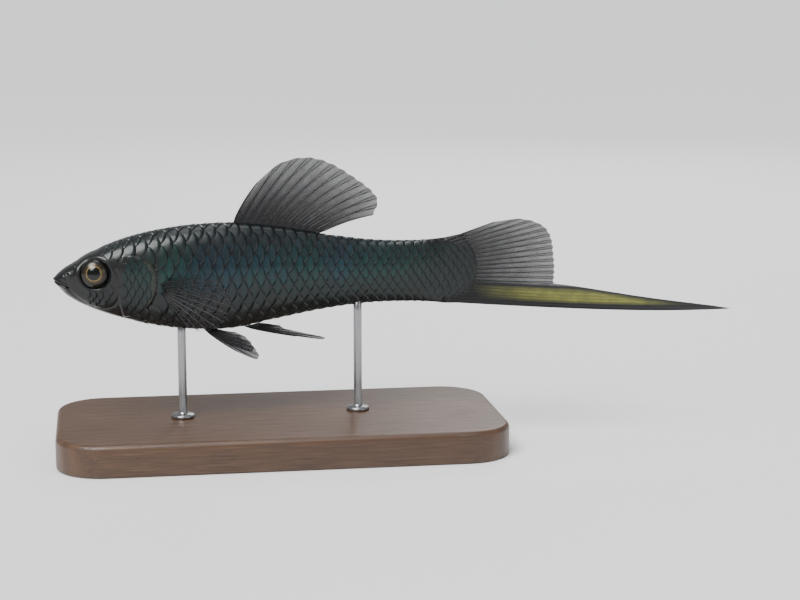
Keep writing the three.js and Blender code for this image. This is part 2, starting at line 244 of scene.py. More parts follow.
def store(target, name, values, kind="FLOAT"):
    """Writes one value per vertex as a named attribute that materials and node trees can read."""
    attribute = target.data.attributes.new(name, kind, "POINT")
    field = "value" if kind == "FLOAT" else "vector"
    attribute.data.foreach_set(field, np.asarray(values, np.float32).ravel())


def grid_faces(rows, columns, first=0, ring=False):
    """Quads of a grid of points numbered from first on; ring joins the last column to the first."""
    spans = columns if ring else columns - 1
    i, j = np.meshgrid(np.arange(rows - 1), np.arange(spans), indexing="ij")
    after = (j + 1) % columns
    corners = [i * columns + j, i * columns + after, (i + 1) * columns + after, (i + 1) * columns + j]
    return (np.stack(corners, axis=-1).reshape(-1, 4) + first).tolist()


def tube_faces(rows, columns, poles=False):
    """Faces of a closed tube of rings. Its ends are flat, or fans round two poles that follow the rings."""
    faces = grid_faces(rows, columns, ring=True)
    start = list(range(columns))
    end = [(rows - 1) * columns + j for j in start]
    if not poles:
        return faces + [start[::-1], end]
    first, last = rows * columns, rows * columns + 1
    after = start[1:] + start[:1]
    faces += [[first, b, a] for a, b in zip(start, after)]
    faces += [[last, end[a], end[b]] for a, b in zip(start, after)]
    return faces


def corner_vertices(target):
    """The number of the vertex at every corner of every face."""
    numbers = np.zeros(len(target.data.loops), int)
    target.data.loops.foreach_get("vertex_index", numbers)
    return numbers


def store_map(target, name, flat):
    """Writes a UV map from one flat place per corner."""
    target.data.uv_layers.new(name=name).data.foreach_set("uv", flat.astype(np.float32).ravel())


def triangle_count(target):
    """Triangles of a finished mesh."""
    return sum(len(face.vertices) - 2 for face in target.data.polygons)


print("a soft step is", float(fade(0.25, 0, 1)), "high at a quarter of its way")

# %% [markdown]
# A material is a small net of nodes. These helpers add a node, set its values by name, and join nodes.
# Nothing here reads the camera, so the finish stays put when the view moves or the model is exported.

# %% Helpers for nodes
def plug(sockets, name):
    """The socket of that name which the node uses in its present settings."""
    return next(socket for socket in sockets if socket.name == name and socket.enabled)


def wire(tree, value, socket):
    """Joins an output to a socket, or sets the socket when the value is plain."""
    if isinstance(value, bpy.types.NodeSocket):
        tree.links.new(value, socket)
    elif value is not None:
        socket.default_value = value


def add(tree, kind, settings=None, **values):
    """A node with its settings, and values or other nodes' outputs on its sockets by name."""
    made = tree.nodes.new(kind)
    for key, value in (settings or {}).items():
        setattr(made, key, value)
    for key, value in values.items():
        wire(tree, value, plug(made.inputs, key.replace("_", " ")))
    return made


def get(tree, kind, settings=None, **values):
    """The first output of such a node."""
    return add(tree, kind, settings, **values).outputs[0]


def split(tree, vector):
    """The numbers of a vector, by the names X, Y and Z."""
    return add(tree, "ShaderNodeSeparateXYZ", Vector=vector).outputs


def maths(tree, operation, a, b=None):
    """One arithmetic step on numbers."""
    made = add(tree, "ShaderNodeMath", {"operation": operation})
    wire(tree, a, made.inputs[0])
    wire(tree, b, made.inputs[1])
    return made.outputs[0]


def vectors(tree, operation, a, b=None, c=None):
    """One step on vectors."""
    made = add(tree, "ShaderNodeVectorMath", {"operation": operation})
    wire(tree, a, made.inputs[0])
    wire(tree, b, made.inputs["Scale"] if operation == "SCALE" else made.inputs[1])
    wire(tree, c, made.inputs[2])
    return made.outputs[0]

# %% Helpers for materials
def start_material(name):
    """A new material, its node tree and its main shader."""
    material = bpy.data.materials.new(name)
    material.use_nodes = True
    tree = material.node_tree
    return material, tree, tree.nodes["Principled BSDF"]


def set_shader(tree, shader, **values):
    """Sets the shader's sockets by name, with spaces written as underscores."""
    for key, value in values.items():
        wire(tree, value, shader.inputs[key.replace("_", " ")])


def attribute(tree, name, output="Fac"):
    """A vertex attribute: the output Fac is a plain number and Vector a vector."""
    return add(tree, "ShaderNodeAttribute", {"attribute_name": name}).outputs[output]


def ramp(tree, source, *stops):
    """Colours along a source from 0 to 1, each stop a place and a colour."""
    made = add(tree, "ShaderNodeValToRGB", Fac=source)
    steps = made.color_ramp.elements
    while len(steps) < len(stops):
        steps.new(0.5)
    for step, (place, colour) in zip(steps, stops):
        step.position = place
        step.color = (*colour, 1)
    return made.outputs[0]


def grey_ramp(tree, source, *stops):
    """A number along a source from 0 to 1, each stop a place and a number."""
    return ramp(tree, source, *((place, (value, value, value)) for place, value in stops))


def level_ramp(tree, source, low, high, start=0.0, end=1.0):
    """A number that goes from low to high as the source goes from start to end."""
    ends = {"From_Min": start, "From_Max": end, "To_Min": low, "To_Max": high}
    return get(tree, "ShaderNodeMapRange", Value=source, **ends)


def noise(tree, scale, detail=3.0, roughness=0.5, stretch=(1, 1, 1)):
    """Cloudy noise in the object's own space; scale is in features per metre."""
    place = add(tree, "ShaderNodeTexCoord").outputs["Object"]
    moved = get(tree, "ShaderNodeMapping", Vector=place, Scale=stretch)
    return get(tree, "ShaderNodeTexNoise", Vector=moved, Scale=scale, Detail=detail, Roughness=roughness)


def bump(tree, height, distance, strength=1.0, normal=None):
    """Small relief from a height of 0 to 1 over a distance in metres."""
    how = {"Distance": distance, "Strength": strength, "Normal": normal}
    return get(tree, "ShaderNodeBump", Height=height, **how)


def mix_colour(tree, share, a, b):
    """Two colours mixed by a share that changes over the surface."""
    made = add(tree, "ShaderNodeMix", {"data_type": "RGBA"}, Factor=share)
    for value, name in ((a, "A"), (b, "B")):
        colour = value if isinstance(value, bpy.types.NodeSocket) else (*value, 1)
        wire(tree, colour, plug(made.inputs, name))
    return plug(made.outputs, "Result")

# %% [markdown]
# The lines of the head. On a real swordtail the gill cover is a bony flap with a free rear edge, the cheek
# before it ends in a curved fold, and the small mouth opens upwards. They could be cut as grooves into a
# finished mesh. Here they are short curves in the side view, which are later pressed into the skin.

# %% Lines of the head
def curve_through(*corners, steps=16):
    """A path in the side view, in shares of the length: a start, then pairs of a pull and an end."""
    points = [np.array([corners[0]], float)]
    start = np.array(corners[0], float)
    t = np.linspace(0, 1, steps + 1)[1:, None]
    for pull, end in zip(corners[1::2], corners[2::2]):
        pull, end = np.array(pull, float), np.array(end, float)
        points.append((1 - t) ** 2 * start + 2 * t * (1 - t) * pull + t * t * end)
        start = end
    return np.concatenate(points) * LENGTH


def distance_to(path, x, z):
    """Distance in the side view from each point to a path."""
    nearest = np.full(np.shape(x), np.inf)
    for (ax, az), (bx, bz) in zip(path[:-1], path[1:]):
        run_x, run_z = bx - ax, bz - az
        t = np.clip(((x - ax) * run_x + (z - az) * run_z) / (run_x**2 + run_z**2), 0, 1)
        nearest = np.minimum(nearest, np.hypot(x - ax - t * run_x, z - az - t * run_z))
    return nearest


def inside(path, x, z):
    """Whether each point lies inside a closed path."""
    found = np.zeros(np.shape(x), bool)
    for (ax, az), (bx, bz) in zip(path, np.roll(path, -1, axis=0)):
        if az != bz:
            found ^= ((az > z) != (bz > z)) & (x < (bx - ax) * (z - az) / (bz - az) + ax)
    return found


GILL_EDGE = curve_through(
    (0.172, 0.07), (0.245, 0.07), (0.256, 0.03), (0.268, -0.014),
    (0.247, -0.052), (0.225, -0.093), (0.174, -0.098),
)
GILL_FRONT = curve_through((0.174, -0.098), (0.146, -0.012), (0.172, 0.07))
GILL_OUTLINE = np.concatenate([GILL_EDGE, GILL_FRONT[1:-1]])
CHEEK_FOLD = curve_through((0.158, 0.03), (0.176, -0.03), (0.152, -0.062), (0.135, -0.079), (0.1, -0.071))
LIP_LINE = curve_through((-0.02, 0.008), (0.012, -0.004), (0.036, -0.016))
LIP_FOLD = curve_through((0.036, -0.016), (0.037, 0.002), (0.024, 0.024))
JAW_FOLD = curve_through((0.038, -0.018), (0.05, -0.04), (0.08, -0.058))
EYE_X, EYE_Z = 0.105 * LENGTH, 0.021 * LENGTH
EYE_RADIUS = 0.0375 * LENGTH
EYE_SHOWN = 2.5 * MM
print("gill cover from", np.round(GILL_OUTLINE.min(0), 4), "to", np.round(GILL_OUTLINE.max(0), 4))

# %% [markdown]
# The skin could be sculpted by hand, but a grid whose rings follow the section rule gives clean, even faces
# and can be pressed in and raised by simple functions of place. The rings are close on the head, where the
# detail is, and wider under the scales. The skin lies as deep under the solids as the scales are high.
# Behind, it runs out as a thin sleeve over the roots of the tail's rays, as the real skin does.

# %% Depth of the skin and relief of the head
HEAD_DEPTH = 0.12 * MM
COAT_DEPTH = 0.26 * MM
STALK_DEPTH = 0.2 * MM
SLEEVE_DEPTH = 0.07 * MM
SLEEVE_START = 0.96 * LENGTH
SLEEVE_END = 1.085 * LENGTH


def gill_side(x, z):
    """Distance from the gill cover's outline, positive on the cover."""
    away = distance_to(GILL_OUTLINE[np.r_[0 : len(GILL_OUTLINE), 0]], x, z)
    return np.where(inside(GILL_OUTLINE, x, z), away, -away)


def coat_depth(x):
    """How high the scales stand on the body at x."""
    front = mix(HEAD_DEPTH, COAT_DEPTH, fade(x, 0.13 * LENGTH, 0.25 * LENGTH))
    rear = mix(front, STALK_DEPTH, fade(x, 0.6 * LENGTH, LENGTH))
    return mix(rear, SLEEVE_DEPTH, fade(x, LENGTH, SLEEVE_END))


def skin_depth(x, z):
    """How far the skin lies under the surface of the solids."""
    on_cover = fade(gill_side(x, z), -0.05 * MM, 0.07 * MM)
    return mix(coat_depth(x), HEAD_DEPTH, on_cover)


FOLDS = (
    (GILL_FRONT, 0.1 * MM, 0.28 * MM),
    (CHEEK_FOLD, 0.13 * MM, 0.26 * MM),
    (LIP_FOLD, 0.12 * MM, 0.18 * MM),
    (JAW_FOLD, 0.1 * MM, 0.3 * MM),
)
NOSTRILS = ((0.036, 0.021, 0.24 * MM), (0.056, 0.04, 0.2 * MM))


def eye_relief(x, z):
    """A soft raised ring round the eye, and the socket inside it."""
    away = np.hypot(x - EYE_X, z - EYE_Z)
    relief = 0.14 * MM * bell(away, EYE_SHOWN + 0.75 * MM, 0.4 * MM)
    relief -= 0.42 * MM * fade(away, EYE_SHOWN + 0.5 * MM, EYE_SHOWN)
    return relief - 1.4 * MM * fade(away, EYE_SHOWN, EYE_SHOWN - 0.35 * MM)


def gill_relief(x, z):
    """The gill cover's soft rim, and the groove behind its free rear edge."""
    cover = gill_side(x, z)
    free_edge = bell(distance_to(GILL_EDGE, x, z), 0, 0.5 * MM) * fade(x, 0.18 * LENGTH, 0.215 * LENGTH)
    groove = 0.24 * MM * bell(cover, -0.2 * MM, 0.2 * MM) * free_edge
    return 0.06 * MM * bell(cover, 0.35 * MM, 0.4 * MM) - groove


def mouth_relief(x, z):
    """The slit of the mouth between its lips."""
    away = distance_to(LIP_LINE, x, z)
    lips = 0.13 * MM * bell(away, 0.33 * MM, 0.22 * MM) * fade(x, 0.045 * LENGTH, 0.03 * LENGTH)
    return lips - 0.42 * MM * bell(away, 0, 0.1 * MM)


def head_relief(x, z):
    """How far the head's details stand out of the skin, or in where negative."""
    relief = eye_relief(x, z) + gill_relief(x, z) + mouth_relief(x, z)
    for path, deep, wide in FOLDS:
        relief -= deep * bell(distance_to(path, x, z), 0, wide)
    for pit_x, pit_z, wide in NOSTRILS:
        away = np.hypot(x - pit_x * LENGTH, z - pit_z * LENGTH)
        relief += 0.05 * MM * bell(away, 1.5 * wide, 0.13 * MM) - 0.3 * MM * bell(away, 0, 0.6 * wide)
    return relief


print("folds of the head", len(FOLDS), "and nostrils a side", len(NOSTRILS))

# %% Surface under the scales
HALF_COLUMNS = 116
CAP_RINGS, HEAD_RINGS, TRUNK_RINGS = 29, 190, 196
HEAD_END = 0.285 * LENGTH
RELIEF_END = 0.3 * LENGTH


def ring_places():
    """Distances of the skin's rings behind the snout, close together on the head."""
    cap = SNOUT_CAP * (1 - np.cos(np.linspace(0, np.pi / 2, CAP_RINGS)))
    head = np.linspace(SNOUT_CAP, HEAD_END, HEAD_RINGS)
    trunk = np.linspace(HEAD_END, SLEEVE_END, TRUNK_RINGS)
    return np.concatenate([cap[1:], head[1:], trunk[1:]])


def normals_of(points):
    """Outward directions of a grid whose rows run back along the fish and columns down its left."""
    down = np.gradient(points, axis=1)
    back = np.gradient(points, axis=0)
    normal = np.cross(down, back)
    return normal / np.maximum(np.linalg.norm(normal, axis=-1, keepdims=True), 1e-12)


def flank_grid(places, shares):
    """Surface of the solids as a grid: rows at the places, columns at the shares down the left flank."""
    rows = [np.stack([np.full(len(shares), x), *section(x, shares)], axis=-1) for x in places]
    return tail_sleeve(np.array(rows))


SLEEVE_THIN = 0.24
SLEEVE_SPREAD = {"above": 0.1, "below": -0.012}
SLEEVE_BULGE = 1.6 * MM
SLEEVE_ARC = 1.8
STALK_HALF = 0.09 * LENGTH


def tail_sleeve(points):
    """Draws the end of the stalk out over the tail's rays: thin, a little spread, its end a soft arc."""
    x, y, z = points[..., 0], points[..., 1], points[..., 2]
    past = np.clip((x - BODY_END) / (SLEEVE_END - BODY_END), 0, 1)
    spread = 1 + past * np.where(z > 0, SLEEVE_SPREAD["above"], SLEEVE_SPREAD["below"])
    grown = fade(x, SLEEVE_START, SLEEVE_END)
    arc = SLEEVE_BULGE * grown * (1 - SLEEVE_ARC * (z / STALK_HALF) ** 2)
    return np.stack([x + arc, y * mix(1, SLEEVE_THIN, grown), z * spread], axis=-1)


def finished_flank(places, shares, with_head):
    """The skin's left half: the solids' surface, sunk by the coat's depth, with the head's relief."""
    surface = flank_grid(places, shares)
    x, z = surface[..., 0], surface[..., 2]
    lift = -skin_depth(x, z) if with_head else -coat_depth(x)
    if with_head:
        near_head = x < RELIEF_END
        lift[near_head] += head_relief(x[near_head], z[near_head])
    return surface + normals_of(surface) * lift[..., None]

# %% Skin mesh
def build_skin():
    """One closed skin from snout to tail root, with its unwrap."""
    margin = 3
    shares = np.arange(-margin, HALF_COLUMNS + margin + 1) / HALF_COLUMNS
    left = finished_flank(ring_places(), shares, True)[:, margin:-margin]
    left[:, [0, -1], 1] = 0
    right = left[:, -2:0:-1] * np.array([1, -1, 1])
    rings = np.concatenate([left, right], axis=1)
    rows, columns = rings.shape[:2]
    snout = (0.02 * MM, 0, body_at(0, "waist") * LENGTH)
    stub = (rings[-1, :, 0].max(), 0, 0)
    points = np.concatenate([rings.reshape(-1, 3), [snout, stub]])
    skin = new_object("skin", swum(points), tube_faces(rows, columns, poles=True))
    x, z = points[:, 0], points[:, 2]
    cover = fade(gill_side(x, z), -0.1 * MM, 0.6 * MM) * fade(x, 0.165 * LENGTH, 0.205 * LENGTH)
    store(skin, "cover", cover * (x < HEAD_END))
    store(skin, "height", z / LENGTH)
    add_unwrap(skin, rows, columns)
    return skin


def add_unwrap(skin, rows, columns):
    """Lays the skin out flat: along the fish to the right, round it upwards."""
    corner = corner_vertices(skin)
    row, column = np.divmod(corner, columns)
    corners_of = [face.loop_total for face in skin.data.polygons]
    spoke = np.repeat(np.arange(len(corners_of)), corners_of) % columns
    column = np.where((spoke == columns - 1) & (column == 0), columns, column)
    at_pole = corner >= rows * columns
    u = np.where(at_pole, corner - rows * columns, (row + 1) / (rows + 2))
    v = np.where(at_pole, spoke + 0.5, column) / columns
    edge = 0.005
    store_map(skin, "OFBake", mix(edge, 1 - edge, np.stack([u, v], axis=-1)))


skin = build_skin()
print("skin triangles", triangle_count(skin))

# %% [markdown]
# Finish of the skin. A black swordtail's skin is wet and nearly black, a little uneven in tone. An image
# could be wrapped on to it, but noise in the object's own space has no seams. The base colour stays very
# dark, and a clear wet coat over it gives the highlights that show the shape.

# %% Skin finish
WET_IOR = 1.36


def black_skin():
    """Wet black skin, with a dull bronze gleam on the gill cover and a paler throat and belly."""
    material, tree, shader = start_material("black_skin")
    cloud = noise(tree, 260, 4, 0.6)
    fine = noise(tree, 2600, 3, 0.6)
    base = ramp(tree, cloud, (0.3, (0.004, 0.0045, 0.005)), (0.7, (0.012, 0.012, 0.0125)))
    below = level_ramp(tree, attribute(tree, "height"), 1.0, 0.0, -0.13, -0.05)
    paler = maths(tree, "MULTIPLY", below, 0.3)
    base = mix_colour(tree, paler, base, (0.05, 0.046, 0.04))
    patch = level_ramp(tree, noise(tree, 700, 4, 0.7), 0.0, 1.0, 0.42, 0.66)
    gleam = maths(tree, "MULTIPLY", attribute(tree, "cover"), patch)
    base = mix_colour(tree, maths(tree, "MULTIPLY", gleam, 0.55), base, (0.06, 0.075, 0.055))
    rough = level_ramp(tree, fine, 0.24, 0.36, 0.3, 0.7)
    relief = bump(tree, fine, 0.008 * MM, 0.4)
    relief = bump(tree, cloud, 0.04 * MM, 0.35, relief)
    set_shader(tree, shader, Base_Color=base, Roughness=rough, Normal=relief, IOR=WET_IOR)
    set_shader(tree, shader, Metallic=maths(tree, "MULTIPLY", gleam, 0.5))
    set_shader(tree, shader, Coat_Weight=0.25, Coat_Roughness=0.1, Coat_IOR=WET_IOR)
    return material


skin.data.materials.append(black_skin())
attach(skin, BODY)
FLESH = ("head", "upper_jaw", "lower_jaw", "gill_cover_left", "gill_cover_right", "trunk", "tail_stalk")
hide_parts(*FLESH)
print("the skin stands for", len(FLESH), "solids")

# %% [markdown]
# Scales. A swordtail has about twenty-eight scales in a row from gill cover to tail, in some ten rows a
# side. Each is a thin round plate with its root in the skin and its rear edge over the next two plates.
# They could be drawn as bump, but then the edges would not catch the light, so each is a real plate.
# Geometry Nodes puts one flat plate on every point of a staggered pattern. It then wraps the whole flat
# coat on to the body, by looking each point up in an unwrap of the body whose units are rows and scales.
# The cheek and the gill cover have a second coat, of smaller and flatter scales.

# %% Pattern of the coats
PITCH_PLACES = [0.0, 0.12, 0.25, 0.6, 1.0, 1.085]
PITCH = [1.5 * MM, 1.8 * MM, 2.3 * MM, 2.1 * MM, 1.5 * MM, 0.95 * MM]
TRUNK_COAT = {"rows": 10, "shrink": 1.0, "span": (0.06 * LENGTH, SLEEVE_END), "on_head": False}
HEAD_COAT = {"rows": 15, "shrink": 1.55, "span": (0.04 * LENGTH, 0.3 * LENGTH), "on_head": True}
BEYOND = 1.6
STEPS_ALONG = 600


def pitch_at(kind, x):
    """Distance from one scale of a row to the next at x."""
    return smooth_through(PITCH_PLACES, PITCH, x / LENGTH) / kind["shrink"]


for kind in (TRUNK_COAT, HEAD_COAT):
    line = np.linspace(0, SLEEVE_END, STEPS_ALONG)
    pitch = pitch_at(kind, line)
    kind["line"] = line
    kind["count"] = np.concatenate([[0], np.cumsum(np.diff(line) * 2 / (pitch[1:] + pitch[:-1]))])
    kind["most"] = kind["count"][-1]
    print(kind["rows"], "rows a side, each with room for", round(float(kind["most"]), 1), "scales")

# %% [markdown]
# A guide for the scales. On a real fish each scale follows the skin under it. Every plate could be turned and
# bent by hand. Instead one flank is made as a fine sheet, which knows at each of its points the scale
# number, the row, the way out of the skin and how thick the coat is there.

# %% The body as a guide for the scales
GUIDE_ROWS, GUIDE_COLUMNS = 330, 110


def scale_guide(side, kind):
    """One flank as a surface that knows, at each point, its scale number, its row and its way out."""
    rows = kind["rows"]
    places = np.linspace(*kind["span"], GUIDE_ROWS)
    shares = np.linspace(-BEYOND / rows, 1 + BEYOND / rows, GUIDE_COLUMNS)
    straight = finished_flank(places, shares, kind["on_head"])
    faces = grid_faces(GUIDE_ROWS, GUIDE_COLUMNS)
    if SIDES[side] > 0:
        straight = straight * np.array([1, -1, 1])
        faces = [face[::-1] for face in faces]
    surface = swum(straight)
    guide = new_object("guide", surface, faces)
    number = np.interp(places, kind["line"], kind["count"]) / kind["most"]
    row = (shares * rows + BEYOND) / (rows + 2 * BEYOND)
    flat = np.stack(np.meshgrid(number, row, indexing="ij"), axis=-1).reshape(-1, 2)
    store_map(guide, "rows", flat[corner_vertices(guide)])
    store(guide, "outward", -SIDES[side] * normals_of(surface), "FLOAT_VECTOR")
    depth = coat_depth(straight[..., 0])
    store(guide, "coat", np.minimum(depth, HEAD_DEPTH) if kind["on_head"] else depth)
    return guide

# %% [markdown]
# One scale. A real one is a thin round plate, rooted in front and free behind, where it lies on the next two.
# About seven hundred are needed, so it has only the faces that its round edge and its slope ask for. It is
# made in its own units, one scale long and one row high, and the tree of nodes sets its real size.

# %% One scale
PLATE_ACROSS = 12
PLATE_ALONG = 4
PLATE_MIDDLE = -0.32
PLATE_ROOT = 0.55
PLATE_TAIL = 0.82
PLATE_HALF = 1.03
PLATE_THICK = 0.42
PLATE_SUNK = -0.3
PLATE_HIGH = 0.97
PLATE_LIP = 0.16
PLATE_CROWN = 0.1
ROOT_BURIED = 0.3


def scale_plate():
    """A scale in its own units: one pitch along x, one row along y and the coat's depth along z."""
    columns = PLATE_ACROSS + 1
    across = np.sin(np.linspace(-np.pi / 2, np.pi / 2, columns))
    arc = np.sqrt(np.maximum(1 - across**2, 0))
    back = np.linspace(0, 1, PLATE_ALONG + 1)[:, None] ** 0.8
    x = PLATE_MIDDLE + arc * mix(-PLATE_ROOT, PLATE_TAIL, back)
    y = PLATE_HALF * across + 0 * back
    from_root = (x - PLATE_MIDDLE + PLATE_ROOT) / (PLATE_ROOT + PLATE_TAIL)
    z = mix(PLATE_SUNK, PLATE_HIGH, from_root) - PLATE_LIP * fade(back, 0.75, 1.0) - PLATE_CROWN * across**2
    points = np.stack([x, y, z], axis=-1).reshape(-1, 3)
    front_edge = list(range(columns))
    rear_edge = [PLATE_ALONG * columns + j for j in range(columns - 2, 0, -1)]
    loop = front_edge + rear_edge
    under = points[loop] - np.array([0, 0, PLATE_THICK])
    under[: len(front_edge), 2] -= ROOT_BURIED
    first, count = len(points), len(loop)
    faces = [face[::-1] for face in grid_faces(PLATE_ALONG + 1, columns)]
    faces += [[loop[k], first + k, first + (k + 1) % count, loop[(k + 1) % count]] for k in range(count)]
    faces.append([first + count - 1 - k for k in range(count)])
    plate = new_object("one_scale", np.concatenate([points, under]), faces)
    weld(plate)
    return plate


def weld(target, reach=1e-6):
    """Joins points that lie on each other and turns all faces outwards."""
    work = bmesh.new()
    work.from_mesh(target.data)
    bmesh.ops.remove_doubles(work, verts=work.verts, dist=reach)
    bmesh.ops.dissolve_degenerate(work, edges=work.edges, dist=reach)
    bmesh.ops.recalc_face_normals(work, faces=work.faces)
    work.to_mesh(target.data)
    work.free()
    target.data.shade_smooth()


plate = scale_plate()
print("faces in one scale", len(plate.data.polygons))

# %% [markdown]
# The tree of nodes. It puts a plate on each point of the flat pattern, gives it a slight turn and size of its
# own from a fixed seed, and joins them all. Then every point looks its place up in the guide's unwrap and
# moves to the surface there, raised along the way out. A point that misses the guide is deleted.

# %% Tree that lays the coat
def group_tree(name, *inputs):
    """An empty geometry tree with named inputs; returns the tree, its input node and its output node."""
    tree = bpy.data.node_groups.new(name, "GeometryNodeTree")
    tree.interface.new_socket("Geometry", in_out="INPUT", socket_type="NodeSocketGeometry")
    for label, kind in inputs:
        tree.interface.new_socket(label, in_out="INPUT", socket_type="NodeSocket" + kind)
    tree.interface.new_socket("Geometry", in_out="OUTPUT", socket_type="NodeSocketGeometry")
    return tree, tree.nodes.new("NodeGroupInput").outputs, tree.nodes.new("NodeGroupOutput")


def remember(tree, geometry, name, value, kind="FLOAT_VECTOR", domain="POINT"):
    """Keeps a value on the geometry under a name."""
    how = {"data_type": kind, "domain": domain}
    return get(tree, "GeometryNodeStoreNamedAttribute", how, Geometry=geometry, Name=name, Value=value)


def recall(tree, name, kind="FLOAT_VECTOR"):
    """Reads a value that is kept under a name."""
    return get(tree, "GeometryNodeInputNamedAttribute", {"data_type": kind}, Name=name)


def chance(tree, seed, low, high):
    """A fixed random value for each instance."""
    made = add(tree, "FunctionNodeRandomValue", {"data_type": "FLOAT"}, Min=low, Max=high, Seed=seed)
    return plug(made.outputs, "Value")


def chance_around(tree, seed, spread):
    """A fixed random value between minus and plus the spread."""
    return chance(tree, seed, maths(tree, "MULTIPLY", spread, -1.0), spread)


def look_up(tree, guide, at, kind, value):
    """The guide's value, and whether there is one, at a place of its unwrap."""
    sampled = add(tree, "GeometryNodeSampleUVSurface", {"data_type": kind}, Mesh=guide, Value=value)
    wire(tree, recall(tree, "rows"), plug(sampled.inputs, "UV Map"))
    wire(tree, at, plug(sampled.inputs, "Sample UV"))
    return sampled.outputs


def scatter_plates(tree, given, place):
    """One plate on every point, each a little turned and uneven, joined to one flat coat."""
    seed = given["Seed"]
    plate = add(tree, "GeometryNodeObjectInfo", Object=given["Plate"]).outputs["Geometry"]
    plate = remember(tree, plate, "lie", place)
    turn = get(tree, "ShaderNodeCombineXYZ", Z=chance_around(tree, seed, given["Turn"]))
    turn = get(tree, "FunctionNodeEulerToRotation", Euler=turn)
    uneven = chance_around(tree, maths(tree, "ADD", seed, 1), given["Uneven"])
    size = maths(tree, "ADD", recall(tree, "grow", "FLOAT"), uneven)
    how = {"Points": given["Geometry"], "Instance": plate, "Rotation": turn, "Scale": size}
    plates = get(tree, "GeometryNodeInstanceOnPoints", **how)
    plates = remember(tree, plates, "root", place, domain="INSTANCE")
    tint = chance(tree, maths(tree, "ADD", seed, 2), 0.0, 1.0)
    plates = remember(tree, plates, "tint", tint, "FLOAT", "INSTANCE")
    return get(tree, "GeometryNodeRealizeInstances", Geometry=plates)


def coat_tree():
    """Plates on the points of a flat pattern, wrapped on to the guide's surface."""
    tree, given, out = group_tree(
        "overlapping_scales",
        ("Plate", "Object"),
        ("Guide", "Object"),
        ("Pattern size", "Vector"),
        ("Pattern start", "Vector"),
        ("Turn", "Float"),
        ("Uneven", "Float"),
        ("Patch", "Float"),
        ("Seed", "Int"),
        ("Finish", "Material"),
    )
    place = get(tree, "GeometryNodeInputPosition")
    coat = scatter_plates(tree, given, place)
    guide = add(tree, "GeometryNodeObjectInfo", Object=given["Guide"]).outputs["Geometry"]
    flat = vectors(tree, "MULTIPLY_ADD", place, given["Pattern size"], given["Pattern start"])
    surface = look_up(tree, guide, flat, "FLOAT_VECTOR", place)
    outward = look_up(tree, guide, flat, "FLOAT_VECTOR", recall(tree, "outward"))[0]
    depth = look_up(tree, guide, flat, "FLOAT", recall(tree, "coat", "FLOAT"))[0]
    rise = maths(tree, "MULTIPLY", split(tree, place)["Z"], depth)
    wrapped = vectors(tree, "ADD", vectors(tree, "SCALE", outward, rise), surface[0])
    root = recall(tree, "root")
    root = vectors(tree, "MULTIPLY_ADD", root, given["Pattern size"], given["Pattern start"])
    patch = vectors(tree, "ADD", vectors(tree, "SCALE", recall(tree, "lie"), given["Patch"]), root)
    missed = maths(tree, "SUBTRACT", 1.0, surface["Is Valid"])
    coat = remember(tree, coat, "OFBake", patch, "FLOAT2", "CORNER")
    coat = remember(tree, coat, "missed", missed, "FLOAT")
    coat = get(tree, "GeometryNodeSetPosition", Geometry=coat, Position=wrapped)
    coat = get(tree, "GeometryNodeDeleteGeometry", Geometry=coat, Selection=recall(tree, "missed", "FLOAT"))
    coat = get(tree, "GeometryNodeSetShadeSmooth", Geometry=coat)
    coat = get(tree, "GeometryNodeSetMaterial", Geometry=coat, Material=given["Finish"])
    wire(tree, coat, out.inputs[0])
    return tree


def run_tree(name, start, tree, **inputs):
    """Runs a geometry tree on an object and returns the result as a plain mesh object."""
    modifier = start.modifiers.new(tree.name, "NODES")
    modifier.node_group = tree
    for item in tree.interface.items_tree:
        label = item.name.replace(" ", "_")
        if item.in_out == "INPUT" and label in inputs:
            modifier[item.identifier] = inputs[label]
    bpy.context.view_layer.update()
    depsgraph = bpy.context.evaluated_depsgraph_get()
    mesh = bpy.data.meshes.new_from_object(start.evaluated_get(depsgraph), depsgraph=depsgraph)
    mesh.name = name
    bpy.data.objects.remove(start)
    return in_scene(name, mesh)


scales_tree = coat_tree()
print("nodes in the coat's tree", len(scales_tree.nodes))

# %% [markdown]
# Finish of the scales. They are black with a blue-green gleam that comes and goes from scale to scale, and
# have fine growth rings. The gleam is a metallic tint in the middle of the plate and the rings are a shallow
# bump. Both follow the plate's own coordinates, which the tree keeps under the name lie.

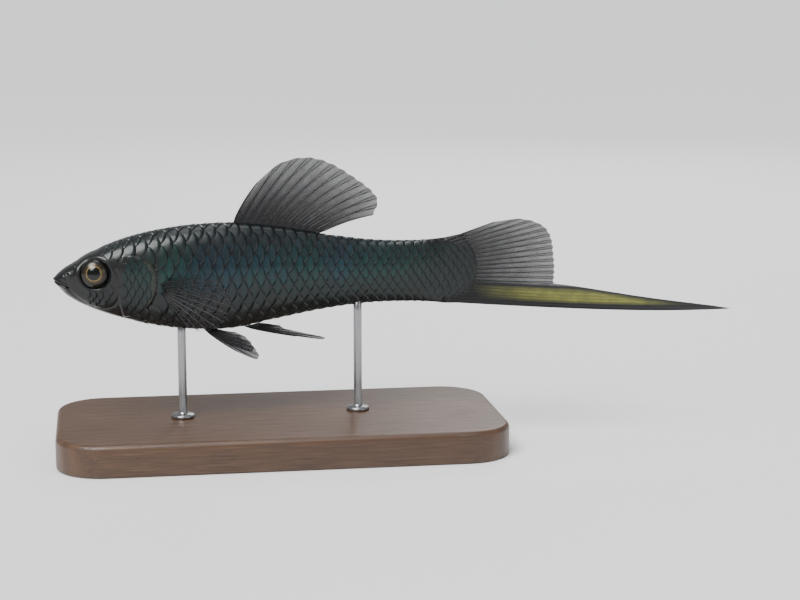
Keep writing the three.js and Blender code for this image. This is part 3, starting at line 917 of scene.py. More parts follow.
# %% Scale finish
def scale_finish():
    """Black scales with a soft blue-green gleam in the middle and fine growth rings."""
    material, tree, shader = start_material("black_scales")
    lie = attribute(tree, "lie", "Vector")
    from_root = level_ramp(tree, split(tree, lie)["X"], 0.0, 1.0, -0.55, 0.5)
    cloud = noise(tree, 420, 4, 0.65)
    base = ramp(tree, cloud, (0.3, (0.004, 0.0045, 0.005)), (0.75, (0.012, 0.013, 0.014)))
    gleam = grey_ramp(tree, from_root, (0.15, 0), (0.6, 1), (0.85, 0.6), (1.0, 0))
    gleam = maths(tree, "MULTIPLY", gleam, attribute(tree, "sheen"))
    gleam = maths(tree, "MULTIPLY", gleam, level_ramp(tree, attribute(tree, "tint"), 0.55, 1.0))
    hue = ramp(tree, noise(tree, 55, 2), (0.35, (0.014, 0.062, 0.045)), (0.65, (0.014, 0.045, 0.07)))
    colour = mix_colour(tree, gleam, base, hue)
    belly = level_ramp(tree, attribute(tree, "belly"), 0.0, 0.4)
    colour = mix_colour(tree, belly, colour, (0.035, 0.033, 0.03))
    shape = {"wave_type": "RINGS", "rings_direction": "SPHERICAL"}
    rings = add(tree, "ShaderNodeTexWave", shape, Vector=lie, Scale=3.2, Distortion=0.6)
    relief = bump(tree, rings.outputs["Fac"], 0.01 * MM, 0.25)
    relief = bump(tree, noise(tree, 3200, 2, 0.5), 0.005 * MM, 0.3, relief)
    rough = level_ramp(tree, cloud, 0.24, 0.36, 0.3, 0.7)
    set_shader(tree, shader, Base_Color=colour, Roughness=rough, Normal=relief, IOR=WET_IOR)
    set_shader(tree, shader, Metallic=level_ramp(tree, gleam, 0.0, 0.6))
    set_shader(tree, shader, Coat_Weight=0.2, Coat_Roughness=0.08, Coat_IOR=WET_IOR)
    return material


black_scales = scale_finish()
print("nodes in the scales' finish", len(black_scales.node_tree.nodes))

# %% [markdown]
# Where the scales go. In the pattern each second row is half a scale further back. On the body it begins
# under the edge of the gill cover, ends on the roots of the tail's rays, and leaves room for the fins on the
# back and the belly. On those two midlines and beside them the scales shrink towards the narrow tail, so
# that none stands off.

# %% Laying a coat
SEEDS = {"left": 11, "right": 23}
HEAD_SEED = 5
TURN = math.radians(3)
UNEVEN = 0.03
PATCH = 0.003


def pattern_points(kind, first_row, last_row):
    """The staggered pattern: scale number and row of every place, and where that is on the straight fish."""
    found = []
    for row in range(first_row, last_row + 1):
        for number in np.arange(0, kind["most"], 1.0) + (row % 2) / 2:
            x = np.interp(number, kind["count"], kind["line"])
            _, z = section(x, np.array([row / kind["rows"]]))
            found.append((number, row, x, z[0]))
    return np.array(found)


def lay_scales(name, side, kind, places, grow, seed):
    """Wraps one flank's coat, a scale at each of the places, and returns it as a plain mesh."""
    number, row, x, z = places.T
    x, z = x / LENGTH, z / LENGTH
    points = new_object("places", np.column_stack([number, row, 0 * row]), [], smooth=False)
    store(points, "grow", grow)
    store(points, "sheen", 0.1 + 0.6 * bell(z, 0.02, 0.05) * fade(x, 0.1, 0.3) * fade(x, 1.08, 0.8))
    store(points, "belly", fade(z, -0.06, -0.12))
    guide = scale_guide(side, kind)
    high = kind["rows"] + 2 * BEYOND
    coat = run_tree(
        name,
        points,
        scales_tree,
        Plate=plate,
        Guide=guide,
        Pattern_size=(1 / kind["most"], 1 / high, 0),
        Pattern_start=(0, BEYOND / high, 0),
        Turn=TURN,
        Uneven=UNEVEN,
        Patch=PATCH,
        Seed=seed,
        Finish=black_scales,
    )
    bpy.data.objects.remove(guide)
    print(name, "scales", len(places), "triangles", triangle_count(coat))
    return coat

# %% Scales of the body
def on_trunk(x, z, pitch):
    """Whether a scale here lies behind the gill cover, with its front part under the cover's edge."""
    edge_x, edge_z = GILL_EDGE.T
    order = np.argsort(edge_z)
    edge = np.interp(z, edge_z[order], edge_x[order])
    above, below = z > edge_z.max() - 0.2 * MM, z < edge_z.min() + 0.2 * MM
    nape = above & (x > 0.125 * LENGTH)
    throat = below & (x > 0.2 * LENGTH)
    return nape | throat | (~above & ~below & (x > edge + 0.05 * pitch))


def trunk_scales(side):
    """The coat of one flank; the rows on the two midlines belong to the left one."""
    rows = TRUNK_COAT["rows"]
    first, last = (0, rows) if side == "left" else (1, rows - 1)
    places = pattern_points(TRUNK_COAT, first, last)
    _, row, x, z = places.T
    pitch = pitch_at(TRUNK_COAT, x)
    keep = on_trunk(x, z, pitch) & (x < SLEEVE_END - 0.6 * pitch)
    x = x / LENGTH
    under_dorsal = (row == 0) & (x > 0.45) & (x < 0.715)
    over_gonopodium = (row == rows) & (x > 0.49) & (x < 0.555)
    on_ridge = (row == 0) | (row == rows)
    by_ridge = (row == 1) | (row == rows - 1)
    keep &= ~under_dorsal & ~over_gonopodium & ~(on_ridge & (x > 0.97))
    grow = 1 - 0.45 * on_ridge * fade(x, 0.8, 0.96) - 0.32 * by_ridge * fade(x, 0.9, 1.0)
    return lay_scales(f"scales_{side}", side, TRUNK_COAT, places[keep], grow[keep], SEEDS[side])


coats = [trunk_scales(side) for side in SIDES]

# %% [markdown]
# Scales on the head. They are smaller and flatter than those of the body, and the snout, the lips and the
# ring round the eye are bare. The same tree lays them on the head's own skin, with its folds.

# %% Scales of the head
def on_head(x, z, pitch):
    """Whether a small scale fits here, clear of the eye, the folds and the gill cover's edges."""
    rear = x + 0.5 * pitch
    clear = np.hypot(x - EYE_X, z - EYE_Z) > EYE_SHOWN + 1.35 * MM
    clear &= np.hypot(rear - EYE_X, z - EYE_Z) > EYE_SHOWN + 0.8 * MM
    on_cover = (gill_side(x, z) > 0.85 * MM) & (gill_side(rear, z) > 0.35 * MM)
    fold = np.minimum(distance_to(CHEEK_FOLD, x, z), distance_to(CHEEK_FOLD, rear, z))
    on_cheek = (x > 0.085 * LENGTH) & (rear < 0.163 * LENGTH) & (fold > 0.4 * MM)
    on_cheek &= (z < 0.035 * LENGTH) & (z > -0.062 * LENGTH)
    return clear & (on_cover | on_cheek)


def head_scales(side):
    """The small scales of one cheek and gill cover."""
    places = pattern_points(HEAD_COAT, 1, HEAD_COAT["rows"] - 1)
    _, _, x, z = places.T
    places = places[on_head(x, z, pitch_at(HEAD_COAT, x))]
    grow = np.ones(len(places))
    return lay_scales(f"head_scales_{side}", side, HEAD_COAT, places, grow, SEEDS[side] + HEAD_SEED)


coats += [head_scales(side) for side in SIDES]
for coat in coats:
    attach(coat, BODY)
bpy.data.objects.remove(plate)

# %% [markdown]
# Eyes. A fish has no lids. Its eye is a shallow dome in a round socket, with a dark lens that bulges
# through the ring of the iris. A turned profile gives all of it in one closed shape, and the colours follow
# the distance from its middle, which is kept on the points as a plan of the eye.

# %% Eyeballs
EYE_DEPTH = 1.7 * MM
EYE_SUNK = 1.1 * MM
EYE_TILT = math.radians(8)
PUPIL = 0.47
LENS_BULGE = 0.1 * MM
LENS_GROOVE = 0.05 * MM
EYE_RINGS = 44
EYE_SPOKES = 72


def eye_frame(out):
    """Middle of the eyeball, and its own directions: back, up and out."""
    turn, lean = out * EYE_TILT, out * EYE_TILT
    about_z = np.array([[np.cos(turn), -np.sin(turn), 0], [np.sin(turn), np.cos(turn), 0], [0, 0, 1]])
    about_x = np.array([[1, 0, 0], [0, np.cos(lean), -np.sin(lean)], [0, np.sin(lean), np.cos(lean)]])
    axes = about_x @ about_z @ np.array([[1, 0, 0], [0, 0, out], [0, 1, 0]])
    middle = np.array([EYE_X, out * (skin_side(EYE_X, EYE_Z) - EYE_SUNK), EYE_Z])
    return middle, axes


def build_eye(side):
    """A closed eyeball: rings from the middle of the pupil over the rim to the back of the ball."""
    middle, axes = eye_frame(SIDES[side])
    slope = np.linspace(0, np.pi, EYE_RINGS + 1)[1:-1, None]
    reach, level = np.sin(slope), np.cos(slope)
    in_front = slope < np.pi / 2
    lens = LENS_BULGE * np.sqrt(np.maximum(1 - (reach / PUPIL) ** 2, 0)) * in_front
    lens -= LENS_GROOVE * bell(reach, PUPIL + 0.02, 0.035) * in_front
    spoke = np.linspace(0, 2 * np.pi, EYE_SPOKES, endpoint=False)
    plan = np.stack([reach * np.cos(spoke), reach * np.sin(spoke), level + 0 * spoke], axis=-1)
    local = plan * np.array([EYE_RADIUS, EYE_RADIUS, EYE_DEPTH])
    local[..., 2] += lens
    tips = np.array([[0, 0, EYE_DEPTH + LENS_BULGE], [0, 0, -EYE_DEPTH]])
    local = np.concatenate([local.reshape(-1, 3), tips])
    faces = tube_faces(len(slope), EYE_SPOKES, poles=True)
    eye = new_object(f"{side}_eyeball", swum(middle + local @ axes.T), faces)
    store(eye, "plan", np.concatenate([plan.reshape(-1, 3), [[0, 0, 1], [0, 0, -1]]]), "FLOAT_VECTOR")
    weld(eye)
    return eye


eyes = {side: build_eye(side) for side in SIDES}
for eye in eyes.values():
    print(eye.name, "triangles", triangle_count(eye))

# %% [markdown]
# Finish of the eyes. A black pupil with a thin gold edge lies in a dark bronze iris, whose fine streaks run
# outwards. The colours follow the distance from the eye's middle, and one wet coat lies over them all.

# %% Eye finish
def eye_finish():
    """Black pupil with a thin gold edge in a dark bronze iris, all under a wet gloss."""
    material, tree, shader = start_material("wet_eye")
    plan = attribute(tree, "plan", "Vector")
    flat = vectors(tree, "MULTIPLY", plan, (1, 1, 0))
    reach = add(tree, "ShaderNodeVectorMath", {"operation": "LENGTH"}, Vector=flat).outputs["Value"]
    front = split(tree, plan)["Z"]
    ray = vectors(tree, "NORMALIZE", flat)
    streaks = get(tree, "ShaderNodeTexNoise", Vector=ray, Scale=9.0, Detail=4.0, Roughness=0.7)
    iris = ramp(
        tree,
        reach,
        (PUPIL - 0.015, (0.001, 0.001, 0.0015)),
        (PUPIL + 0.01, (0.34, 0.23, 0.075)),
        (PUPIL + 0.05, (0.1, 0.07, 0.028)),
        (0.62, (0.035, 0.026, 0.014)),
        (0.8, (0.014, 0.011, 0.008)),
        (0.92, (0.004, 0.004, 0.005)),
    )
    dark = level_ramp(tree, streaks, 0.25, 1.3, 0.3, 0.7)
    iris = vectors(tree, "SCALE", iris, dark)
    colour = mix_colour(tree, level_ramp(tree, front, 0.0, 1.0, 0.0, 0.1), (0.006, 0.006, 0.007), iris)
    metal = level_ramp(tree, reach, 0.0, 0.4, PUPIL - 0.01, PUPIL + 0.01)
    set_shader(tree, shader, Base_Color=colour, Metallic=metal, Normal=bump(tree, streaks, 0.03 * MM, 0.5))
    set_shader(tree, shader, Roughness=level_ramp(tree, reach, 0.12, 0.3, PUPIL - 0.02, PUPIL + 0.02))
    set_shader(tree, shader, IOR=WET_IOR, Coat_Weight=0.6, Coat_Roughness=0.02, Coat_IOR=WET_IOR)
    return material


wet_eye = eye_finish()
for side, eye in eyes.items():
    eye.data.materials.append(wet_eye)
    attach(eye, BODY)
    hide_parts(f"eye_{side}")
print("nodes in the eyes' finish", len(wet_eye.node_tree.nodes))

# %% [markdown]
# Fins. Each is a fan: rays leave a line on the body and a thin clear web joins them. A ray's way, its
# length and its root are smooth functions from the first ray, 0, to the last, 1, so web and rays share one
# rule. The sword is the lowest rays of the tail fin, drawn out, and so it belongs to the same fan.

# %% Roots of the fins
GAP = 0.3 * MM


def along(*pairs):
    """A smooth function through pairs of a place and a value."""
    places, values = zip(*pairs)
    return lambda s: smooth_through(places, values, s)


def midline_root(start, end, upper):
    """Roots in a row on the back or the belly."""

    def root(s):
        x = mix(start, end, s) * LENGTH
        z = skin_height(x, 0 * x, upper) + (GAP if upper else -GAP)
        return np.stack([x, 0 * x, z], axis=-1)

    return root


def pelvic_root(out):
    """Roots of a pelvic fin, low on the belly beside the midline."""

    def root(s):
        x, y = mix(0.388, 0.414, s) * LENGTH, mix(0.017, 0.014, s) * LENGTH
        return np.stack([x, out * y, skin_height(x, y, False) - GAP], axis=-1)

    return root


def pectoral_root(out):
    """Roots of a pectoral fin, one above the other behind the gill cover."""

    def root(s):
        x, z = mix(0.277, 0.285, s) * LENGTH, mix(-0.004, -0.05, s) * LENGTH
        return np.stack([x, out * (skin_side(x, z) + GAP), z], axis=-1)

    return root


def tail_root(s):
    """Roots of the tail fin, in a shallow arc at the end of the stalk."""
    x = BODY_END + GAP - 0.012 * LENGTH * (2 * s - 1) ** 2
    return np.stack([x, 0 * x, mix(0.08, -0.086, s) * LENGTH], axis=-1)


upper_root, lower_root = tail_root(np.array([0.0, 1.0]))
print("roots of the tail fin from height", round(upper_root[2], 4), "down to", round(lower_root[2], 4))

# %% Fans of the fins
SWORD_FROM = 0.66
SWORD_TAPER = 0.8
TAIL_MARGIN = along((0, 0.135), (0.06, 0.205), (0.2, 0.262), (0.45, 0.272), (SWORD_FROM, 0.272))


def tail_ray(s):
    """Lengths of the tail's rays: a short round fin above and the sword below."""
    into = np.maximum(0, (s - SWORD_FROM) / (1 - SWORD_FROM))
    margin = TAIL_MARGIN(np.minimum(s, SWORD_FROM))
    return margin + (SWORD / LENGTH - margin) * into**SWORD_TAPER


FINS = {
    "dorsal_fin": {
        "root": midline_root(0.468, 0.7, True),
        "way": along((0, 66), (0.5, 47), (1, 24)),
        "ray": along((0, 0.115), (0.08, 0.178), (0.28, 0.22), (0.6, 0.215), (0.85, 0.195), (1, 0.14)),
        "curl": 8,
        "ripple": 0.7 * MM,
        "rays": 13,
        "thick": 1.0,
        "forks": 2,
    },
    "tail_fin": {
        "root": tail_root,
        "way": along((0, 20), (0.3, 9), (0.66, -2.5), (1, -4)),
        "ray": tail_ray,
        "lift": 0.02 * LENGTH,
        "ripple": 0.5 * MM,
        "rays": 21,
        "thick": 0.9,
        "forks": 2,
        "stands_for": ["caudal_fin", "sword"],
    },
    "gonopodium": {
        "root": midline_root(0.5, 0.54, False),
        "way": along((0, -16), (1, -12)),
        "ray": along((0, 0.13), (0.16, 0.19), (0.42, 0.183), (0.62, 0.085), (1, 0.045)),
        "curl": -3,
        "rays": 6,
        "thick": 1.0,
        "forks": 0,
    },
}
for side, out in SIDES.items():
    FINS[f"pelvic_fin_{side}"] = {
        "root": pelvic_root(out),
        "way": along((0, -40), (1, -20)),
        "ray": along((0, 0.1), (0.15, 0.142), (0.35, 0.145), (0.65, 0.115), (0.88, 0.085), (1, 0.06)),
        "curl": -6,
        "out": out * 16,
        "rays": 6,
        "thick": 0.7,
        "forks": 1,
    }
    FINS[f"pectoral_fin_{side}"] = {
        "root": pectoral_root(out),
        "way": along((0, 16), (0.5, -10), (1, -44)),
        "ray": along((0, 0.115), (0.12, 0.17), (0.35, 0.192), (0.65, 0.172), (0.88, 0.125), (1, 0.085)),
        "curl": 4,
        "out": out * 36,
        "rays": 11,
        "thick": 0.8,
        "forks": 0,
    }


def fin_point(fin, s, t):
    """Points of a fin's middle sheet: s across the rays, t from 0 at the root to 1 at the margin."""
    s, t = np.broadcast_arrays(np.asarray(s, float), np.asarray(t, float))
    length = fin["ray"](s) * LENGTH * t
    way = np.radians(fin["way"](s) - fin.get("curl", 0) * t)
    out = math.radians(fin.get("out", 0))
    reach = np.stack([np.cos(way) * math.cos(out), np.cos(way) * math.sin(out), np.sin(way)], axis=-1)
    point = fin["root"](s) + reach * length[..., None]
    point[..., 1] += fin.get("ripple", 0) * t * t * np.sin(2.5 * np.pi * s)
    point[..., 2] += fin.get("lift", 0) * (length / SWORD) ** 2
    return point


print("fins", ", ".join(FINS))

# %% [markdown]
# Webs. Between the rays a fin is a clear skin, thinner than paper, and drawn in a little at the margin in
# every gap. A plane would show no thickness at its edge, so each web is a closed sheet with a front, a back
# and a rim, which sags a little between one ray and the next.

# %% Webs
WEB_STEPS = 6
WEB_ROWS = 40
ROOT_SUNK = 0.9 * MM
WEB_ROOT = 0.12 * MM
WEB_EDGE = 0.04 * MM
WEB_SAG = 0.05 * MM
NOTCH = 0.22 * MM
RAY_ROOT = 0.2 * MM
RAY_TIP = 0.075 * MM
RAY_START = 0.25


def build_web(name, fin):
    """The clear skin between the rays: thin, a little slack, with a notch at the margin in every gap."""
    gaps = fin["rays"] - 1
    s = np.linspace(0, 1, gaps * WEB_STEPS + 1)
    phase = s * gaps % 1
    slack = np.sin(np.pi * phase) ** 2
    length = fin["ray"](s) * LENGTH
    last = 1 - NOTCH * slack / length
    first = -ROOT_SUNK / length
    t = mix(first[None, :], last[None, :], np.linspace(0, 1, WEB_ROWS)[:, None])
    s = np.broadcast_to(s, t.shape)
    middle = fin_point(fin, s, t)
    normal = np.cross(np.gradient(middle, axis=0), np.gradient(middle, axis=1))
    normal /= np.maximum(np.linalg.norm(normal, axis=-1, keepdims=True), 1e-12)
    thin = mix(WEB_ROOT, WEB_EDGE, np.sqrt(np.clip(t, 0, 1))) * (1 - 0.35 * slack)
    middle = middle + normal * (WEB_SAG * slack * np.clip(t, 0, 1))[..., None]
    front = middle + normal * thin[..., None]
    back = middle - normal * thin[..., None]
    rows, columns = t.shape
    size = rows * columns
    faces = grid_faces(rows, columns)
    faces += [face[::-1] for face in grid_faces(rows, columns, first=size)]
    edge = list(range(columns)) + [i * columns + columns - 1 for i in range(1, rows)]
    edge += [(rows - 1) * columns + j for j in range(columns - 2, -1, -1)]
    edge += [i * columns for i in range(rows - 2, 0, -1)]
    faces += [[a, a + size, b + size, b] for a, b in zip(edge, edge[1:] + edge[:1])]
    web = new_object(f"{name}_web", swum(np.stack([front, back])), faces)
    fan = np.stack([s, np.clip(t, 0, 1), np.broadcast_to(slack, t.shape)], axis=-1).reshape(-1, 3)
    store(web, "fan", np.concatenate([fan, fan]), "FLOAT_VECTOR")
    weld(web)
    return web

# %% [markdown]
# Rays. A real ray is a row of short bony joints, and most of them fork on their way to the margin. They could
# be modelled joint by joint. Here the middle line of each ray is worked out, forks and all, and a second tree
# of nodes rounds every line to a tube that is pinched at each joint.

# %% Lines of the rays
JOINT = 0.5 * MM
POINTS_PER_JOINT = 3
RAY_END = 0.985
EDGE_RAY = 1.15
FORKS = ((0.45, 0.2, 0.76), (0.76, 0.09, 0.76))
FORK_END = 1.1


def ray_line(fin, start, end, s_of, thick):
    """One stretch of a ray: at each point its place, half its thickness, its run, and s and t in the fan."""
    length = float(fin["ray"](s_of(1.0))) * LENGTH
    steps = max(int(abs(end - start) * length / JOINT * POINTS_PER_JOINT), 4)
    t = np.linspace(start, end, steps + 1)
    s = s_of(t)
    points = swum(fin_point(fin, s, t))
    radius = thick * mix(RAY_ROOT, RAY_TIP, np.clip(t, 0, 1) ** 0.8)
    radius = radius * mix(RAY_START, 1, fade(t * length, -ROOT_SUNK, ROOT_SUNK))
    return points, radius, t * length, s, t


def branch_way(s_of, fork, spread):
    """Where a branch runs across the fan: with its ray up to the fork, then away from it."""
    return lambda t: s_of(t) + spread * fade(t, fork, FORK_END)


def forked(fin, start, s_of, gap, forks, thick):
    """A stretch of a ray and, past its fork, its two branches, which may fork again."""
    if not forks:
        return [ray_line(fin, start, RAY_END, s_of, thick)]
    (fork, spread, slimmer), *later = forks
    found = [ray_line(fin, start, fork + 0.01, s_of, thick)]
    for way in (-1, 1):
        branch = branch_way(s_of, fork, way * spread * gap)
        found += forked(fin, fork - 0.02, branch, gap, later, thick * slimmer)
    return found


def straight_way(s):
    """A ray that keeps its place across the fan."""
    return lambda t: s + 0 * t


def ray_lines(fin):
    """All the rays of a fin; its first and last ray don't fork."""
    last = fin["rays"] - 1
    gap = 1 / last
    found = []
    for k in range(fin["rays"]):
        s = k * gap
        sunk = -ROOT_SUNK / (float(fin["ray"](s)) * LENGTH)
        on_edge = k in (0, last)
        forks = () if on_edge else FORKS[: fin["forks"]]
        thick = fin["thick"] * (EDGE_RAY if on_edge else 1)
        found += forked(fin, sunk, straight_way(s), gap, forks, thick)
    return found


def line_mesh(name, lines):
    """All lines as loose edges, with what the tree needs on their points."""
    points = np.concatenate([line[0] for line in lines])
    starts = np.cumsum([0] + [len(line[0]) for line in lines])
    edges = [(k, k + 1) for a, b in zip(starts[:-1], starts[1:]) for k in range(a, b - 1)]
    mesh = bpy.data.meshes.new(name)
    mesh.from_pydata(points.tolist(), edges, [])
    made = in_scene(name, mesh)
    store(made, "thick", np.concatenate([line[1] for line in lines]))
    store(made, "run", np.concatenate([line[2] for line in lines]))
    fans = [np.stack([s, np.clip(t, 0, 1), 0 * t], axis=-1) for _, _, _, s, t in lines]
    store(made, "fan", np.concatenate(fans), "FLOAT_VECTOR")
    return made

# %% Tree that rounds the rays
def rays_tree():
    """Tubes along lines, pinched at each joint of the ray."""
    tree, given, out = group_tree(
        "jointed_rays", ("Sides", "Int"), ("Pinch", "Float"), ("Joint", "Float"), ("Finish", "Material")
    )
    curve = get(tree, "GeometryNodeMeshToCurve", Mesh=given["Geometry"])
    turns = maths(tree, "DIVIDE", recall(tree, "run", "FLOAT"), given["Joint"])
    wave = maths(tree, "COSINE", maths(tree, "MULTIPLY", turns, 2 * math.pi))
    wave = maths(tree, "POWER", level_ramp(tree, wave, 0.0, 1.0, -1.0, 1.0), 2.0)
    slim = maths(tree, "SUBTRACT", 1.0, maths(tree, "MULTIPLY", wave, given["Pinch"]))
    size = maths(tree, "MULTIPLY", recall(tree, "thick", "FLOAT"), slim)
    ring = get(tree, "GeometryNodeCurvePrimitiveCircle", Resolution=given["Sides"], Radius=1.0)
    rays = get(tree, "GeometryNodeCurveToMesh", Curve=curve, Profile_Curve=ring, Scale=size, Fill_Caps=True)
    rays = get(tree, "GeometryNodeRealizeInstances", Geometry=rays)
    rays = get(tree, "GeometryNodeSetShadeSmooth", Geometry=rays)
    rays = get(tree, "GeometryNodeSetMaterial", Geometry=rays, Material=given["Finish"])
    wire(tree, rays, out.inputs[0])
    return tree


jointed_rays = rays_tree()
print("nodes in the rays' tree", len(jointed_rays.nodes))

# %% [markdown]
# Finishes of the fins. The webs are smoky and let light through, most of all between the rays and at the
# margin. The rays are dark horn. Along the sword a pale yellow-green stripe runs between black borders, over
# web and rays alike, so one function works out its share for both.

# %% Fin finishes
STRIPE = (0.2, 0.205, 0.045)


def stripe_share(tree, s, t):
    """1 on the pale stripe of the sword and 0 on its black borders."""
    across = grey_ramp(tree, s, (0.7, 0), (0.77, 1), (0.88, 1), (0.94, 0))
    outward = grey_ramp(tree, t, (0.12, 0), (0.5, 1), (0.8, 1), (0.96, 0))
    return maths(tree, "MULTIPLY", across, outward)


def web_finish(name, root, margin, striped=False):
    """Smoky skin, clearest between the rays; root and margin say how solid it is there."""
    material, tree, shader = start_material(name)
    fan = split(tree, attribute(tree, "fan", "Vector"))
    cloud = noise(tree, 420, 4, 0.65)
    outward = fan["Y"]
    colour = ramp(
        tree,
        outward,
        (0.0, (0.005, 0.005, 0.006)),
        (0.6, (0.013, 0.013, 0.015)),
        (1.0, (0.025, 0.025, 0.027)),
    )
    thin = maths(tree, "MULTIPLY", fan["Z"], level_ramp(tree, cloud, 0.02, 0.1, 0.35, 0.65))
    alpha = maths(tree, "SUBTRACT", level_ramp(tree, outward, root, margin), thin)
    if striped:
        stripe = stripe_share(tree, fan["X"], outward)
        mottled = maths(tree, "MULTIPLY", stripe, level_ramp(tree, cloud, 0.5, 0.85, 0.35, 0.6))
        colour = mix_colour(tree, mottled, colour, STRIPE)
        sword = level_ramp(tree, fan["X"], 0.0, 0.4, SWORD_FROM, 0.72)
        alpha = maths(tree, "ADD", alpha, sword)
    alpha = maths(tree, "MINIMUM", alpha, 1.0)
    relief = bump(tree, noise(tree, 500, 1), 0.015 * MM, 0.3)
    set_shader(tree, shader, Base_Color=colour, Alpha=alpha, Normal=relief, IOR=WET_IOR)
    set_shader(tree, shader, Roughness=level_ramp(tree, cloud, 0.28, 0.38, 0.3, 0.7))
    set_shader(tree, shader, Coat_Weight=0.1, Coat_Roughness=0.15, Coat_IOR=WET_IOR)
    return material


def ray_finish(name, striped):
    """Dark horny rays, a little browner towards the tips."""
    material, tree, shader = start_material(name)
    fan = split(tree, attribute(tree, "fan", "Vector"))
    cloud = noise(tree, 900, 3, 0.6)
    colour = ramp(tree, fan["Y"], (0.0, (0.004, 0.004, 0.005)), (1.0, (0.009, 0.008, 0.008)))
    colour = mix_colour(tree, level_ramp(tree, cloud, 0.0, 0.4, 0.4, 0.8), colour, (0.02, 0.018, 0.016))
    if striped:
        stripe = stripe_share(tree, fan["X"], fan["Y"])
        colour = mix_colour(tree, maths(tree, "MULTIPLY", stripe, 0.55), colour, STRIPE)
    set_shader(tree, shader, Base_Color=colour, Normal=bump(tree, cloud, 0.008 * MM, 0.4), IOR=WET_IOR)
    set_shader(tree, shader, Roughness=level_ramp(tree, cloud, 0.27, 0.38, 0.3, 0.7))
    set_shader(tree, shader, Coat_Weight=0.15, Coat_Roughness=0.12, Coat_IOR=WET_IOR)
    return material


smoky_web = web_finish("smoky_web", 1.0, 0.6)
clear_web = web_finish("clear_web", 0.2, 0.1)
tail_web = web_finish("tail_web", 1.0, 0.6, striped=True)
fin_rays = ray_finish("fin_rays", False)
tail_rays = ray_finish("tail_rays", True)
fin_looks = (smoky_web, clear_web, tail_web, fin_rays, tail_rays)
print("fin finishes", ", ".join(look.name for look in fin_looks))

# %% Make the fins
def finishes_of(name):
    """The finishes of a fin's web and of its rays."""
    if name == "tail_fin":
        return tail_web, tail_rays
    if name.startswith("pectoral"):
        return clear_web, fin_rays
    return smoky_web, fin_rays


for name, fin in FINS.items():
    web_look, ray_look = finishes_of(name)
    web = build_web(name, fin)
    web.data.materials.append(web_look)
    rays = run_tree(
        f"{name}_rays",
        line_mesh("lines", ray_lines(fin)),
        jointed_rays,
        Sides=6,
        Pinch=0.16,
        Joint=JOINT,
        Finish=ray_look,
    )
    for piece in (web, rays):
        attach(piece, BODY)
    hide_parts(*fin.get("stands_for", [name]))
    print(name, "web", triangle_count(web), "rays", triangle_count(rays), "triangles")

# %% [markdown]
# Stand. A museum model of a swimming fish stands on thin rods in a small wooden base. The base is a stack
# of rounded outlines, so that its edges are soft, and each rod is a turned shape with a small foot.

# %% Wooden base
_, BASE_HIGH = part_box("stand_base")
BASE_CORNER = 9 * MM
EDGE_ROUND = 1.0 * MM
EDGE_STEPS = 6
CORNER_STEPS = 14


def rounded_outline(half_x, half_y, corner):
    """A rectangle with round corners, anticlockwise from above."""
    points = []
    for quarter, (sx, sy) in enumerate(((1, 1), (-1, 1), (-1, -1), (1, -1))):
        for k in range(CORNER_STEPS + 1):
            angle = (quarter + k / CORNER_STEPS) * np.pi / 2
            x = sx * (half_x - corner) + corner * np.cos(angle)
            y = sy * (half_y - corner) + corner * np.sin(angle)
            points.append((x, y))
    return np.array(points)


def build_base():
    """The wooden base: flat below, with rounded upper and lower edges."""
    half_x, half_y = BASE_HIGH.x, BASE_HIGH.y
    turn = np.linspace(0, np.pi / 2, EDGE_STEPS + 1)
    lower = [(EDGE_ROUND * 0.5 * (1 - np.sin(a)), EDGE_ROUND * 0.5 * (1 - np.cos(a))) for a in turn]
    upper = [(EDGE_ROUND * (1 - np.cos(a)), BASE_HIGH.z - EDGE_ROUND * (1 - np.sin(a))) for a in turn]
    rings = []
    for inset, height in lower + upper:
        outline = rounded_outline(half_x - inset, half_y - inset, BASE_CORNER - inset)
        rings.append(np.column_stack([outline, np.full(len(outline), height)]))
    base = new_object("stand_base_wood", rings, tube_faces(len(rings), len(rings[0])))
    weld(base)
    for face in base.data.polygons:
        face.use_smooth = len(face.vertices) < 5
    return base


base = build_base()
print(base.name, "triangles", triangle_count(base))

# %% Steel rods
FOOT = ((2.1, 0.0), (2.2, 0.12), (2.2, 0.5), (2.05, 0.68), (1.2, 0.8), (0.9, 0.95), (0.8, 1.3))
ROD_RADIUS = 0.8 * MM
ROD_STEPS = 6
ROD_SPOKES = 40


def build_rod(node):
    """A round steel rod on a small turned foot."""
    low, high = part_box(node)
    x, y = (low.x + high.x) / 2, (low.y + high.y) / 2
    profile = [(radius * MM, BASE_HIGH.z + height * MM) for radius, height in FOOT]
    foot_top = profile[-1][1]
    profile += [(ROD_RADIUS, mix(foot_top, high.z, k / ROD_STEPS)) for k in range(1, ROD_STEPS + 1)]
    spokes = np.linspace(0, 2 * np.pi, ROD_SPOKES, endpoint=False)
    rings = np.array([[(x + r * np.cos(a), y + r * np.sin(a), h) for a in spokes] for r, h in profile])
    rod = new_object(f"{node}_steel", rings, tube_faces(len(profile), ROD_SPOKES))
    weld(rod)
    return rod


rods = {node: build_rod(node) for node in ("stand_rod_front", "stand_rod_rear")}
for rod in rods.values():
    print(rod.name, "triangles", triangle_count(rod))

# %% [markdown]
# Finishes of the stand. Oiled walnut has its grain along the base, with fine pores, and is only a little
# glossy. Noise stretched along the base gives the fibre, and bent bands behind it the year rings. The steel
# is brushed lengthwise, which noise stretched along the rod shows as fine lines.

